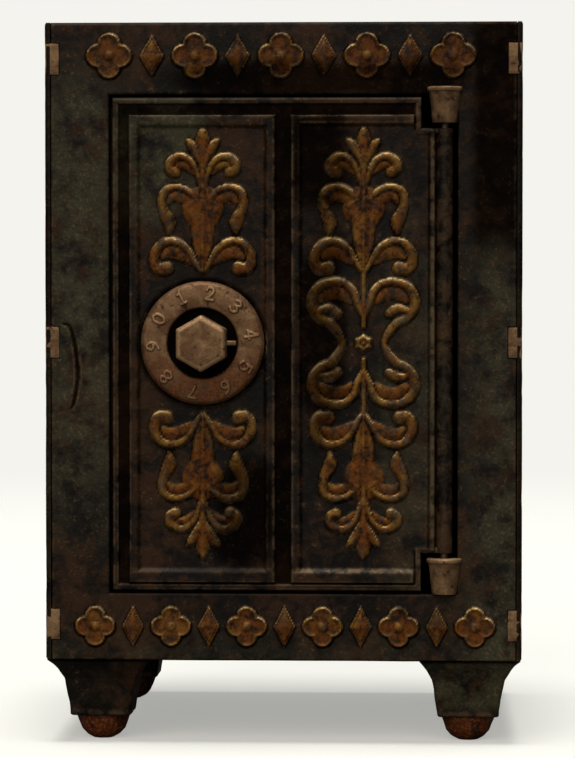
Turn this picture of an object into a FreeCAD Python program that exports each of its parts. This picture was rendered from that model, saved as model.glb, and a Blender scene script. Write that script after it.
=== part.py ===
"""Toy safe still bank, cast iron, about 153 mm tall.

Six castings make the case: a front plate with the door opening, a back plate, two side plates whose
tenons come through the front and back plates, a top plate with the coin slot, and a base plate with
four legs. Two long screws clamp the top to the base. The front plate carries two hinge lugs and,
behind the door, a stop ledge and a keeper. The door carries a numbered dial ring and a hexagonal knob.
The knob's spindle drives a cam and two free tumblers behind the door. The door opens only when the
notches of all three stand at the keeper, as they do here.

Millimetres. +Z is up, +X is to the right of a person facing the door, and the door faces -Y. The
origin is under the middle of the object's box, on the floor.
"""
import FreeCAD, Part
import math
import os

# ---- Driving dimensions ----
BODY_WIDTH = 101.0
BODY_DEPTH = 89.0
CASE_TOP = 153.0
LEG_HEIGHT = 17.8
WALL = 3.0
SEAM = 0.15  # open joint between two castings of the case
KNOB_PROUD = 8.0  # how far the knob stands in front of the front plate

# Case joints
LIP = 1.1  # outer lip of a side plate, which covers the edge of the front and back plates
TENON_HEIGHT = 5.9
TENON_PITCH = 59.9
FLARE = 0.35  # how far a tenon's hammered end spreads above and below
FLARE_DEPTH = 0.9
LEDGE = 2.0
PANEL_SINK = 0.8
SLOT_LENGTH = 36.0
SLOT_WIDTH = 4.8

# Door and hinge
DOOR_LEFT = -36.15
DOOR_RIGHT = 29.15
DOOR_BOTTOM = 32.9
DOOR_TOP = 137.1
DOOR_THICKNESS = 3.0
DOOR_GAP = 0.7
HINGE_GAP = 1.0  # between the barrel and the jamb
STOP_GAP = 0.3
HINGE_X = 34.1
HINGE_SETBACK = 0.3  # hinge axis behind the front plate's face
BARREL_RADIUS = 1.7
BARREL_BOTTOM = 40.9
BARREL_TOP = 130.6
LUG_RADIUS = 2.6
LUG_NECK = 3.35  # radius under the collar
COLLAR_RADIUS = 3.7
COLLAR_HEIGHT = 0.9
LUG_HEIGHT = 7.6
LUG_GAP = 1.1  # bare pin between a lug and the barrel
PIN_RADIUS = 0.8
PIN_CLEARANCE = 0.05
PIN_IN_BARREL = 9.0

# Door mouldings, as heights in front of the front plate's face
RIM_PROUD = 0.6
RIM_WIDTH = 1.3
BAND_PROUD = 1.1
BAND_WIDTH = 2.3
FIELD_PROUD = 0.4
LEFT_PANEL = (-32.8, -1.5)
RIGHT_PANEL = (1.5, 32.3)
PANEL_BOTTOM = 33.0 + RIM_WIDTH
PANEL_TOP = 133.6

# Dial and lock
DIAL_X = -17.0
DIAL_Z = 85.3
RING_OUTER = 13.1
RING_INNER = 7.4
RING_PROUD = 2.3
STUD_RADIUS = 1.1
STUD_ANGLES = (90, 270)
KNOB_FLATS = 10.4
POINTER_REACH = 7.2
POINTER_WIDTH = 1.05
SPINDLE_RADIUS = 2.6
SPINDLE_SQUARE = 3.4
DISC_RADIUS = 14.0
DISC_THICKNESS = 1.6
DISC_GAP = 1.4
NOTCH_DEPTH = 6.5
KEEPER_HEIGHT = 4.0
KEEPER_TIP = 10.5  # from the spindle's axis to the keeper's tip
NOTCH_CLEARANCE = 0.6
DRIVE_PIN_RADIUS = 1.0
DRIVE_PIN_CIRCLE = 9.0
DRIVE_PIN_LENGTH = 1.1
DRIVE_PIN_ANGLE = 60.0
PICK_UP_ANGLE = 15.0  # between two drive pins that nearly touch

# Frieze of raised ornaments above and below the door
FRIEZE_PROUD = 0.8
FRIEZE_HEIGHT = 10.4
UPPER_FRIEZE = (-41.4, 40.4, 145.9)
LOWER_FRIEZE = (-44.0, 44.6, 25.1)
UPPER_COUNT = 9
LOWER_COUNT = 11

# Scrollwork on the door: one spray, used upright and upside down on both panels. Each stroke is a list
# of (distance from the panel's axis, height above the dial's middle, half width).
SPRAY_AXES = (-17.0, 17.0)
SPRAY_PROUD = 0.7  # above the panel's field
MIDDLE_STROKES = [
    [(0.0, 45.6, 0.3), (0.0, 43.0, 1.25), (0.0, 40.0, 0.95), (0.0, 36.0, 0.75), (0.0, 30.4, 0.7)],
    [(0.0, 31.0, 0.3), (0.0, 28.9, 3.9), (0.0, 26.3, 2.4), (0.0, 21.0, 1.8), (0.0, 15.2, 0.3)],
]
SIDE_STROKES = [
    [(0.3, 38.0, 0.6), (1.5, 40.6, 0.9), (2.6, 42.2, 0.75), (3.4, 43.0, 0.2)],
    [(0.3, 33.4, 0.5), (1.3, 36.4, 0.6), (2.7, 38.5, 0.7), (4.7, 39.4, 0.75), (6.6, 38.5, 0.75),
     (7.1, 36.7, 0.75), (6.1, 35.6, 0.7)],
    [(0.6, 29.8, 0.5), (2.3, 31.4, 0.65), (3.9, 32.5, 0.7), (6.0, 32.9, 0.75), (7.9, 32.1, 0.8),
     (8.6, 30.2, 0.8), (8.2, 28.0, 0.9), (7.2, 26.0, 1.2), (7.0, 24.6, 0.9), (7.2, 23.0, 0.25)],
    [(0.3, 15.2, 0.5), (2.0, 17.8, 0.65), (3.4, 20.0, 0.7), (5.0, 21.1, 0.8), (6.9, 21.5, 0.85),
     (8.9, 20.8, 0.85), (10.1, 18.9, 0.85), (10.2, 16.7, 0.85), (9.0, 15.1, 0.8), (7.2, 15.1, 0.8)],
    [(2.3, 17.0, 0.5), (4.6, 18.6, 1.0), (6.8, 19.2, 1.0), (8.2, 18.2, 0.5)],
]
RIGHT_MIDDLE_STROKES = [[(0.0, 15.6, 0.5), (0.0, 9.0, 0.55), (0.0, 3.4, 0.4)]]
RIGHT_SIDE_STROKES = [
    [(0.0, 5.6, 0.5), (1.3, 8.6, 0.7), (2.2, 11.0, 0.75), (4.0, 12.6, 0.8), (6.6, 12.9, 0.85),
     (9.2, 12.0, 0.9), (10.7, 9.8, 0.95), (10.5, 7.2, 0.95), (9.0, 5.2, 0.9), (7.0, 4.2, 0.85),
     (5.6, 2.6, 0.8), (4.6, 0.9, 0.6), (4.4, 0.0, 0.5)],
    [(3.3, 8.8, 0.4), (5.0, 10.2, 1.0), (7.0, 10.0, 0.9), (8.2, 8.6, 0.4)],
    [(9.6, 6.9, 0.6), (7.4, 6.7, 0.75), (5.2, 6.3, 0.6)],
]
ROSETTE_RADIUS = 1.8

# Dial numerals: strokes in a box from -0.3 to 0.3 across and -0.5 to 0.5 up
NUMERAL_HEIGHT = 2.9
NUMERAL_CIRCLE = 10.5
NUMERAL_PROUD = 0.3
NUMERAL_HALF_STROKE = 0.25
NUMERAL_ANGLES = {0: 151, 1: 115, 2: 81, 3: 47, 4: 10, 5: -29, 6: -62, 7: -101, 8: -137, 9: -176}
NUMERALS = {
    0: [[(0, 0.46), (-0.24, 0.28), (-0.28, 0), (-0.24, -0.28), (0, -0.46)],
        [(0, 0.46), (0.24, 0.28), (0.28, 0), (0.24, -0.28), (0, -0.46)]],
    1: [[(0.02, 0.5), (0.02, -0.46)], [(-0.17, 0.3), (0.02, 0.44)], [(-0.16, -0.44), (0.2, -0.44)]],
    2: [[(-0.26, 0.22), (-0.14, 0.44), (0.14, 0.44), (0.24, 0.2), (0.06, -0.12), (-0.24, -0.4)],
        [(-0.26, -0.42), (0.28, -0.42)]],
    3: [[(-0.26, 0.36), (0, 0.46), (0.22, 0.26), (-0.04, 0.04)],
        [(-0.04, 0.04), (0.26, -0.18), (0.02, -0.46), (-0.28, -0.34)]],
    4: [[(0.12, -0.48), (0.12, 0.48)], [(0.1, 0.42), (-0.26, -0.16)], [(-0.3, -0.18), (0.3, -0.18)]],
    5: [[(0.24, 0.42), (-0.2, 0.42)], [(-0.18, 0.44), (-0.22, 0.04)],
        [(-0.2, 0.08), (0.06, 0.14), (0.26, -0.14), (0.02, -0.46), (-0.28, -0.34)]],
    6: [[(0.2, 0.44), (-0.12, 0.28), (-0.27, -0.12), (-0.1, -0.42), (0.12, -0.42)],
        [(-0.22, -0.02), (0.04, 0.06), (0.25, -0.14), (0.06, -0.44)]],
    7: [[(-0.28, 0.42), (0.28, 0.42)], [(0.24, 0.4), (0.02, -0.02), (-0.08, -0.48)]],
    8: [[(0, 0.04), (-0.21, 0.15), (-0.21, 0.33), (0, 0.46)],
        [(0, 0.04), (0.21, 0.15), (0.21, 0.33), (0, 0.46)],
        [(0, 0.04), (-0.26, -0.1), (-0.26, -0.32), (0, -0.46)],
        [(0, 0.04), (0.26, -0.1), (0.26, -0.32), (0, -0.46)]],
    9: [[(-0.2, -0.44), (0.12, -0.28), (0.27, 0.12), (0.1, 0.42), (-0.12, 0.42)],
        [(0.22, 0.02), (-0.04, -0.06), (-0.25, 0.14), (-0.06, 0.44)]],
}

# Legs
LEG_TOP_WIDTH = 22.0
ANKLE_Z = 5.4
ANKLE_OUTER = 4.6  # outer face of the leg at the ankle, in from the case's outer face
ANKLE_WIDTH = 13.2
KNEE_Z = 13.4
OUTER_KNEE = 3.35
INNER_KNEE = 19.1
TOE_RADIUS = 5.7
TOE_FLAT_RADIUS = 2.2

# Tie screws
TIE_X = 42.3
TIE_RADIUS = 1.6
TIE_HEAD_RADIUS = 3.2
TIE_HEAD_HEIGHT = 1.6
NUT_WIDTH = 6.0
NUT_HEIGHT = 2.4

# ---- Places worked out from them ----
HALF = BODY_WIDTH / 2
INNER = HALF - WALL
FRONT = KNOB_PROUD - (BODY_DEPTH + KNOB_PROUD) / 2
BACK = FRONT + BODY_DEPTH
MIDDLE_Y = (FRONT + BACK) / 2
CASE_BOTTOM = LEG_HEIGHT + SEAM
MIDDLE_Z = (LEG_HEIGHT + CASE_TOP) / 2
TENON_LEVELS = [MIDDLE_Z + k * TENON_PITCH for k in (-1, 0, 1)]
HINGE_Y = FRONT + HINGE_SETBACK
DOOR_BACK = FRONT + DOOR_THICKNESS
LEDGE_FRONT = DOOR_BACK + STOP_GAP
OPENING = (
    DOOR_LEFT - DOOR_GAP, HINGE_X + BARREL_RADIUS + HINGE_GAP,
    DOOR_BOTTOM - DOOR_GAP, DOOR_TOP + DOOR_GAP,
)
FIELD = FRONT - FIELD_PROUD
BOSS_BACK = DOOR_BACK + 4.0
FIRST_DISC = BOSS_BACK + 0.2
DISC_FRONTS = [FIRST_DISC + k * (DISC_THICKNESS + DISC_GAP) for k in range(3)]
STACK_BACK = DISC_FRONTS[2] + DISC_THICKNESS

X, Y, Z = (FreeCAD.Vector(*v) for v in ((1, 0, 0), (0, 1, 0), (0, 0, 1)))


def block(x0, x1, y0, y1, z0, z1):
    return Part.makeBox(x1 - x0, y1 - y0, z1 - z0, FreeCAD.Vector(x0, y0, z0))


def rod_z(x, y, z0, z1, radius):
    return Part.makeCylinder(radius, z1 - z0, FreeCAD.Vector(x, y, z0), Z)


def rod_y(x, z, y0, y1, radius):
    return Part.makeCylinder(radius, y1 - y0, FreeCAD.Vector(x, y0, z), Y)


def slab(outline, y0, y1):
    """A plate parallel to the door, from its outline as (x, z) points."""
    points = [FreeCAD.Vector(x, y0, z) for x, z in outline]
    return Part.Face(Part.makePolygon(points + points[:1])).extrude(FreeCAD.Vector(0, y1 - y0, 0))


def fuse_all(shapes):
    return shapes[0].multiFuse(shapes[1:]).removeSplitter()


def mirror_x(shape):
    return shape.mirror(FreeCAD.Vector(0, 0, 0), X)


def around_dial(radius, angle):
    """(x, z) at an angle about the dial's axis, anticlockwise as a person facing the door sees it."""
    return (
        DIAL_X + radius * math.cos(math.radians(angle)),
        DIAL_Z + radius * math.sin(math.radians(angle)),
    )


# ---- Case ----
def tenon_outline(level, inward, room):
    """A tenon seen from the side, as (y, z), with a hammered end that fills a flared mouth."""
    reach = TENON_HEIGHT / 2 + room
    waist_front, waist_back = FRONT + FLARE_DEPTH, BACK - FLARE_DEPTH
    mouth = reach + FLARE
    upper = [(FRONT - inward, mouth), (waist_front, reach), (waist_back, reach), (BACK + inward, mouth)]
    points = [(y, level + z) for y, z in upper] + [(y, level - z) for y, z in reversed(upper)]
    return [FreeCAD.Vector(0, y, z) for y, z in points]


def tenon(level, inward=0.0, room=0.0):
    """A tenon of the right side plate, or with room round it, the notch that it needs."""
    points = tenon_outline(level, inward, room)
    start = INNER - room
    face = Part.Face(Part.makePolygon(points + points[:1]))
    face.translate(X * start)
    return face.extrude(X * (HALF - start + room * 2))


def tenon_notches():
    """What the tenons of both side plates take out of the front and back plates."""
    right = [tenon(level, 0.001, SEAM) for level in TENON_LEVELS]
    return right + [mirror_x(shape) for shape in right]


def quatrefoil(x, z, size):
    lobe = size * 0.25
    lobes = [
        rod_y(x + lobe * math.cos(a), z + lobe * math.sin(a), FRONT - FRIEZE_PROUD, FRONT + 0.5, lobe * 1.08)
        for a in (math.pi / 2 * k for k in range(4))
    ]
    return fuse_all(lobes)


def lozenge(x, z, width, height):
    outline = [(x - width / 2, z), (x, z - height / 2), (x + width / 2, z), (x, z + height / 2)]
    return slab(outline, FRONT - FRIEZE_PROUD, FRONT + 0.5)


def frieze(left, right, level, count):
    """A row of quatrefoils with lozenges between them."""
    pitch = (right - left) / count
    centres = [left + pitch * (k + 0.5) for k in range(count)]
    return [
        lozenge(x, level, pitch * 0.6, FRIEZE_HEIGHT * 0.9) if k % 2
        else quatrefoil(x, level, min(pitch * 1.05, FRIEZE_HEIGHT))
        for k, x in enumerate(centres)
    ]


def hinge_lug(z0, z1):
    """A round lug that tapers down from a collar, on a foot that joins it to the jamb."""
    foot_back = FRONT + WALL
    neck = z1 - COLLAR_HEIGHT
    taper = Part.makeCone(LUG_RADIUS, LUG_NECK, neck - z0 + 0.1, FreeCAD.Vector(HINGE_X, HINGE_Y, z0))
    shape = fuse_all([
        taper,
        rod_z(HINGE_X, HINGE_Y, neck, z1, COLLAR_RADIUS),
        block(HINGE_X - LUG_RADIUS, OPENING[1] + 1.0, HINGE_Y, foot_back, z0, z1),
    ])
    return shape.cut(rod_z(HINGE_X, HINGE_Y, z0 - 1, z1 + 1, PIN_RADIUS))


def lug_spans():
    """(z0, z1) of the lower and the upper lug."""
    lower = BARREL_BOTTOM - LUG_GAP
    upper = BARREL_TOP + LUG_GAP
    return [(lower - LUG_HEIGHT, lower), (upper, upper + LUG_HEIGHT)]


def stop_ledge():
    """The ledge that the closed door rests near, along its left, top and bottom edges."""
    left, right, bottom, top = OPENING
    lap = DOOR_GAP + LEDGE
    outer = block(left - LEDGE, right, DOOR_BACK - 0.5, LEDGE_FRONT + LEDGE, bottom - LEDGE, top + LEDGE)
    inner = block(left + lap, right + 1, DOOR_BACK - 1, LEDGE_FRONT + LEDGE + 1, bottom + lap, top - lap)
    seat = block(left, right + 1, DOOR_BACK - 1, LEDGE_FRONT, bottom, top)
    # The ledge ends short of the barrel's side, so the door can turn
    hinge_room = block(DOOR_RIGHT, right + 1, DOOR_BACK - 1, LEDGE_FRONT + LEDGE + 1,
                       bottom - LEDGE - 1, top + LEDGE + 1)
    return outer.cut(inner).cut(seat).cut(hinge_room)


def keeper():
    """The lug behind the door that the discs' notches pass."""
    return block(OPENING[0], DIAL_X - KEEPER_TIP, LEDGE_FRONT + 0.3, FIRST_DISC - 0.8,
                 DIAL_Z - KEEPER_HEIGHT / 2, DIAL_Z + KEEPER_HEIGHT / 2)


def front_plate():
    edge = HALF - LIP - SEAM
    plate = block(-edge, edge, FRONT, FRONT + WALL, CASE_BOTTOM, CASE_TOP)
    left, right, bottom, top = OPENING
    plate = plate.cut(block(left, right, FRONT - 1, FRONT + WALL + 1, bottom, top))
    for notch in tenon_notches():
        plate = plate.cut(notch)
    lugs = [hinge_lug(z0, z1) for z0, z1 in lug_spans()]
    ornaments = frieze(*UPPER_FRIEZE, UPPER_COUNT) + frieze(*LOWER_FRIEZE, LOWER_COUNT)
    plate = fuse_all([plate, stop_ledge(), keeper(), *lugs, *ornaments])
    for z0, z1 in lug_spans():
        plate = plate.cut(rod_z(HINGE_X, HINGE_Y, z0 - 1, z1 + 1, PIN_RADIUS))
    return plate


def back_plate():
    edge = HALF - LIP - SEAM
    plate = block(-edge, edge, BACK - WALL, BACK, CASE_BOTTOM, CASE_TOP)
    for notch in tenon_notches():
        plate = plate.cut(notch)
    border = 9.0
    panel = block(-edge + border, edge - border, BACK - PANEL_SINK, BACK + 1,
                  CASE_BOTTOM + border, CASE_TOP - border)
    return plate.cut(panel)


def right_side_plate():
    core_y = (FRONT + WALL + SEAM, BACK - WALL - SEAM)
    core = block(INNER, HALF, *core_y, CASE_BOTTOM, CASE_TOP)
    lip = block(HALF - LIP, HALF, FRONT, BACK, CASE_BOTTOM, CASE_TOP)
    tenons = [tenon(level) for level in TENON_LEVELS]
    ledge_top = CASE_TOP - WALL - SEAM
    ledge = block(INNER - LEDGE, INNER + 0.5, core_y[0] + 1, core_y[1] - 1, ledge_top - LEDGE, ledge_top)
    border = 10.0
    panel = block(HALF - PANEL_SINK, HALF + 1, FRONT + border, BACK - border,
                  CASE_BOTTOM + border, CASE_TOP - border)
    return fuse_all([core, lip, *tenons, ledge]).cut(panel)


def inside_walls(z0, z1):
    """A plate that fills the case between its four walls."""
    edge = INNER - SEAM
    return block(-edge, edge, FRONT + WALL + SEAM, BACK - WALL - SEAM, z0, z1)


def tie_holes(z0, z1):
    return [rod_z(side * TIE_X, MIDDLE_Y, z0, z1, TIE_RADIUS + 0.1) for side in (-1, 1)]


def coin_slot(z0, z1):
    half_run = (SLOT_LENGTH - SLOT_WIDTH) / 2
    ends = [rod_z(side * half_run, MIDDLE_Y, z0, z1, SLOT_WIDTH / 2) for side in (-1, 1)]
    middle = block(-half_run, half_run, MIDDLE_Y - SLOT_WIDTH / 2, MIDDLE_Y + SLOT_WIDTH / 2, z0, z1)
    return fuse_all([middle, *ends])


def top_plate():
    plate = inside_walls(CASE_TOP - WALL, CASE_TOP)
    surround = block(-25.0, 25.0, MIDDLE_Y - 8.0, MIDDLE_Y + 8.0, CASE_TOP - 0.5, CASE_TOP + 0.8)
    plate = fuse_all([plate, surround])
    for hole in [coin_slot(CASE_TOP - WALL - 1, CASE_TOP + 2), *tie_holes(CASE_TOP - WALL - 1, CASE_TOP + 1)]:
        plate = plate.cut(hole)
    return plate


def leg_profile():
    """A leg's outer and inner edges, as (distance in from the case's outer face, height)."""
    outer = [(0.0, LEG_HEIGHT), (OUTER_KNEE, KNEE_Z), (ANKLE_OUTER, ANKLE_Z)]
    inner = [(ANKLE_OUTER + ANKLE_WIDTH, ANKLE_Z), (INNER_KNEE, KNEE_Z), (LEG_TOP_WIDTH, LEG_HEIGHT)]
    return outer, inner


def leg_wall(across):
    """The leg's profile run right through it; across is True for the one seen from the front."""
    outer, inner = leg_profile()

    def place(inset, height):
        return FreeCAD.Vector(HALF - inset, 0, height) if across else FreeCAD.Vector(0, FRONT + inset, height)

    edges = []
    for points in (outer, inner):
        a, m, b = (place(*p) for p in points)
        edges.append(Part.Arc(a, m, b).toShape())
    ankle = Part.LineSegment(place(*outer[2]), place(*inner[0])).toShape()
    top = Part.LineSegment(place(*inner[2]), place(*outer[0])).toShape()
    face = Part.Face(Part.Wire([edges[0], ankle, edges[1], top]))
    if across:
        face.translate(FreeCAD.Vector(0, FRONT, 0))
        return face.extrude(Y * LEG_TOP_WIDTH)
    face.translate(FreeCAD.Vector(HALF - LEG_TOP_WIDTH, 0, 0))
    return face.extrude(X * LEG_TOP_WIDTH)


def toe():
    """The round toe under a leg, flat where it meets the floor."""
    inset = ANKLE_OUTER + ANKLE_WIDTH / 2
    axis = FreeCAD.Vector(HALF - inset, FRONT + inset, 0)
    profile = [(TOE_FLAT_RADIUS, 0), (TOE_RADIUS - 1.1, 2.0), (TOE_RADIUS, ANKLE_Z - 0.3), (0, ANKLE_Z + 1.0)]
    flat, side, top, neck = (axis + FreeCAD.Vector(r, 0, z) for r, z in profile)
    edges = [
        Part.LineSegment(axis, flat).toShape(),
        Part.Arc(flat, side, top).toShape(),
        Part.LineSegment(top, FreeCAD.Vector(top.x, top.y, neck.z)).toShape(),
        Part.LineSegment(FreeCAD.Vector(top.x, top.y, neck.z), neck).toShape(),
        Part.LineSegment(neck, axis).toShape(),
    ]
    return Part.Face(Part.Wire(edges)).revolve(axis, Z, 360)


def base_plate():
    leg = fuse_all([leg_wall(True).common(leg_wall(False)), toe()])
    right_legs = [leg, leg.mirror(FreeCAD.Vector(0, MIDDLE_Y, 0), Y)]
    legs = right_legs + [mirror_x(shape) for shape in right_legs]
    plate = inside_walls(LEG_HEIGHT - 0.3, LEG_HEIGHT + WALL)
    plate = fuse_all([plate, *legs])
    for hole in tie_holes(LEG_HEIGHT - 1, LEG_HEIGHT + WALL + 1):
        plate = plate.cut(hole)
    return plate


def tie_screws():
    """Two long screws with slotted round heads on the top plate."""
    screws = []
    for side in (-1, 1):
        x = side * TIE_X
        shank = rod_z(x, MIDDLE_Y, LEG_HEIGHT - NUT_HEIGHT - 1.2, CASE_TOP + 0.3, TIE_RADIUS)
        head = rod_z(x, MIDDLE_Y, CASE_TOP, CASE_TOP + TIE_HEAD_HEIGHT, TIE_HEAD_RADIUS)
        head = head.makeFillet(0.9, [e for e in head.Edges if e.BoundBox.ZMin > CASE_TOP + 0.5])
        slot = block(x - 4, x + 4, MIDDLE_Y - 0.4, MIDDLE_Y + 0.4, CASE_TOP + 0.8, CASE_TOP + 3)
        screws.append(fuse_all([shank, head]).cut(slot))
    return Part.makeCompound(screws)


def tie_nuts():
    """The square nuts under the base plate."""
    nuts = []
    top = LEG_HEIGHT - 0.3
    for side in (-1, 1):
        x = side * TIE_X
        reach = NUT_WIDTH / 2
        nut = block(x - reach, x + reach, MIDDLE_Y - reach, MIDDLE_Y + reach, top - NUT_HEIGHT, top)
        nuts.append(nut.cut(rod_z(x, MIDDLE_Y, top - 9, top + 9, TIE_RADIUS)))
    return Part.makeCompound(nuts)


# ---- Door ----
def door_outline(inset):
    """The door's edge, moved in by inset, with its corners stepped back beside the lugs."""
    step_bottom, step_top = BARREL_BOTTOM + inset, BARREL_TOP - inset
    return [
        (DOOR_LEFT + inset, DOOR_BOTTOM + inset), (DOOR_RIGHT - inset, DOOR_BOTTOM + inset),
        (DOOR_RIGHT - inset, step_bottom), (HINGE_X - inset, step_bottom),
        (HINGE_X - inset, step_top), (DOOR_RIGHT - inset, step_top),
        (DOOR_RIGHT - inset, DOOR_TOP - inset), (DOOR_LEFT + inset, DOOR_TOP - inset),
    ]


def panel_outline(left, right, inset):
    """A panel's edge, moved in by inset. The right panel steps back beside the lugs."""
    bottom, top = PANEL_BOTTOM + inset, PANEL_TOP - inset
    near = DOOR_RIGHT - RIM_WIDTH - 0.1
    if right < near:
        return [(left + inset, bottom), (right - inset, bottom), (right - inset, top), (left + inset, top)]
    step_bottom, step_top = BARREL_BOTTOM + 0.2 + inset, BARREL_TOP - 0.2 - inset
    return [
        (left + inset, bottom), (near - inset, bottom), (near - inset, step_bottom),
        (right - inset, step_bottom), (right - inset, step_top), (near - inset, step_top),
        (near - inset, top), (left + inset, top),
    ]


def raised_panel(left, right):
    """A panel: a raised band round a lower field."""
    band = slab(panel_outline(left, right, 0.0), FRONT - BAND_PROUD, FRONT + 0.5)
    sink = slab(panel_outline(left, right, BAND_WIDTH), FRONT - BAND_PROUD - 1, FIELD)
    return band.cut(sink)


def smooth(points, steps=3):
    """Points along a curve through the given points, whatever numbers each point holds."""
    if len(points) < 3:
        return points
    padded = [points[0], *points, points[-1]]
    run = []
    for a, b, c, d in zip(padded, padded[1:], padded[2:], padded[3:]):
        for t in (k / steps for k in range(steps)):
            weights = (
                -t + 2 * t ** 2 - t ** 3, 2 - 5 * t ** 2 + 3 * t ** 3,
                t + 4 * t ** 2 - 3 * t ** 3, t ** 3 - t ** 2,
            )
            run.append(tuple(0.5 * sum(w * v for w, v in zip(weights, values)) for values in zip(a, b, c, d)))
    return run + [points[-1]]


def ribbon(stroke, y0, y1):
    """A slab that follows a stroke of (x, z, half width)."""
    near, far = [], []
    for k, (x, z, half) in enumerate(stroke):
        x0, z0, _ = stroke[max(k - 1, 0)]
        x1, z1, _ = stroke[min(k + 1, len(stroke) - 1)]
        length = math.hypot(x1 - x0, z1 - z0)
        nx, nz = (z1 - z0) / length * half, (x0 - x1) / length * half
        near.append((x + nx, z + nz))
        far.append((x - nx, z - nz))
    return slab(near + far[::-1], y0, y1)


def spray_ribbons():
    """All the scrollwork, as loose slabs that sink a little into the panels' fields."""
    top, root = FIELD - SPRAY_PROUD, FIELD + 0.2
    ribbons = []
    for axis in SPRAY_AXES:
        middle, sides = MIDDLE_STROKES, SIDE_STROKES
        if axis > 0:
            middle, sides = MIDDLE_STROKES + RIGHT_MIDDLE_STROKES, SIDE_STROKES + RIGHT_SIDE_STROKES
        for across, strokes in ((1, middle + sides), (-1, sides)):
            for up in (1, -1):
                for stroke in strokes:
                    placed = [(axis + across * x, DIAL_Z + up * z, half) for x, z, half in smooth(stroke)]
                    ribbons.append(ribbon(placed, top, root))
    ribbons.append(rod_y(SPRAY_AXES[1], DIAL_Z, top, root, ROSETTE_RADIUS))
    return ribbons


def door():
    face = slab(door_outline(0.0), FRONT, DOOR_BACK)
    rim = slab(door_outline(0.0), FRONT - RIM_PROUD, FRONT + 0.5)
    rim = rim.cut(slab(door_outline(RIM_WIDTH), FRONT - RIM_PROUD - 1, FRONT + 1))
    rim = rim.cut(block(DOOR_RIGHT, HINGE_X + 1, FRONT - 5, FRONT + 5,
                        BARREL_BOTTOM + RIM_WIDTH, BARREL_TOP - RIM_WIDTH))
    barrel = rod_z(HINGE_X, HINGE_Y, BARREL_BOTTOM, BARREL_TOP, BARREL_RADIUS)
    boss = rod_y(DIAL_X, DIAL_Z, DOOR_BACK - 0.5, BOSS_BACK, 6.0)
    panels = [raised_panel(*LEFT_PANEL), raised_panel(*RIGHT_PANEL)]
    shape = fuse_all([face, rim, *panels, barrel, boss, *spray_ribbons()])
    bore = PIN_RADIUS + PIN_CLEARANCE
    cuts = [
        rod_z(HINGE_X, HINGE_Y, BARREL_BOTTOM - 1, BARREL_BOTTOM + PIN_IN_BARREL + 0.5, bore),
        rod_z(HINGE_X, HINGE_Y, BARREL_TOP - PIN_IN_BARREL - 0.5, BARREL_TOP + 1, bore),
        rod_y(DIAL_X, DIAL_Z, FRONT - 5, BOSS_BACK + 1, SPINDLE_RADIUS + PIN_CLEARANCE),
        rod_y(DIAL_X, DIAL_Z, FIELD - 5, FIELD, RING_OUTER + 0.1),
    ]
    for angle in STUD_ANGLES:
        cuts.append(rod_y(*around_dial(stud_circle(), angle), FRONT - 5, DOOR_BACK + 1, STUD_RADIUS))
    for cut in cuts:
        shape = shape.cut(cut)
    return shape


def hinge_pins():
    """The lower and the upper pin, each pressed into its lug and running in the barrel."""
    (low_end, _), (_, high_end) = lug_spans()
    lower = rod_z(HINGE_X, HINGE_Y, low_end, BARREL_BOTTOM + PIN_IN_BARREL, PIN_RADIUS)
    upper = rod_z(HINGE_X, HINGE_Y, BARREL_TOP - PIN_IN_BARREL, high_end, PIN_RADIUS)
    return lower, upper


# ---- Dial ----
def stud_circle():
    return (RING_OUTER + RING_INNER) / 2


def numerals(face):
    """The raised numerals, with their tops outward."""
    slabs = []
    for digit, angle in NUMERAL_ANGLES.items():
        turn = math.radians(angle - 90)
        cx, cz = around_dial(NUMERAL_CIRCLE, angle)
        for stroke in NUMERALS[digit]:
            placed = []
            for u, v in smooth(stroke):
                x, z = u * NUMERAL_HEIGHT, v * NUMERAL_HEIGHT
                placed.append((
                    cx + x * math.cos(turn) - z * math.sin(turn),
                    cz + x * math.sin(turn) + z * math.cos(turn),
                    NUMERAL_HALF_STROKE,
                ))
            slabs.append(ribbon(placed, face - NUMERAL_PROUD, face + 0.2))
    return slabs


def dial_ring():
    """The numbered ring, with two studs that pass through the door and are headed behind it."""
    face = FRONT - RING_PROUD
    eye = rod_y(DIAL_X, DIAL_Z, face - 1, FIELD + 1, RING_INNER)
    ring = rod_y(DIAL_X, DIAL_Z, face, FIELD, RING_OUTER).cut(eye)
    rims = [e for e in ring.Edges if e.BoundBox.YMax < face + 0.01]
    ring = ring.makeFillet(0.7, rims)
    studs = []
    for angle in STUD_ANGLES:
        x, z = around_dial(stud_circle(), angle)
        studs.append(rod_y(x, z, FIELD - 0.5, DOOR_BACK + 0.3, STUD_RADIUS))
        studs.append(rod_y(x, z, DOOR_BACK, DOOR_BACK + 0.8, STUD_RADIUS * 1.7))
    return fuse_all([ring, *numerals(face), *studs])


def hexagon(flats, y0, y1):
    """A hexagonal prism on the dial's axis, with a corner at the top."""
    corner = flats / math.sqrt(3)
    return slab([around_dial(corner, 30 + 60 * k) for k in range(6)], y0, y1)


def dial_knob():
    """The hexagonal knob and its pointer, with a blind socket for the spindle."""
    tip = FRONT - KNOB_PROUD
    foot = FIELD - 0.2
    body = hexagon(KNOB_FLATS, tip, foot)
    front_edges = [e for e in body.Edges if e.BoundBox.YMax < tip + 0.01]
    body = body.makeChamfer(0.55, front_edges)
    pointer = block(DIAL_X, DIAL_X + POINTER_REACH, FRONT - RING_PROUD + 0.1, foot,
                    DIAL_Z - POINTER_WIDTH / 2, DIAL_Z + POINTER_WIDTH / 2)
    return fuse_all([body, pointer]).cut(rod_y(DIAL_X, DIAL_Z, tip + 3, foot + 1, SPINDLE_RADIUS))


def square_bar(y0, y1):
    reach = SPINDLE_SQUARE / 2
    return block(DIAL_X - reach, DIAL_X + reach, y0, y1, DIAL_Z - reach, DIAL_Z + reach)


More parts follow.
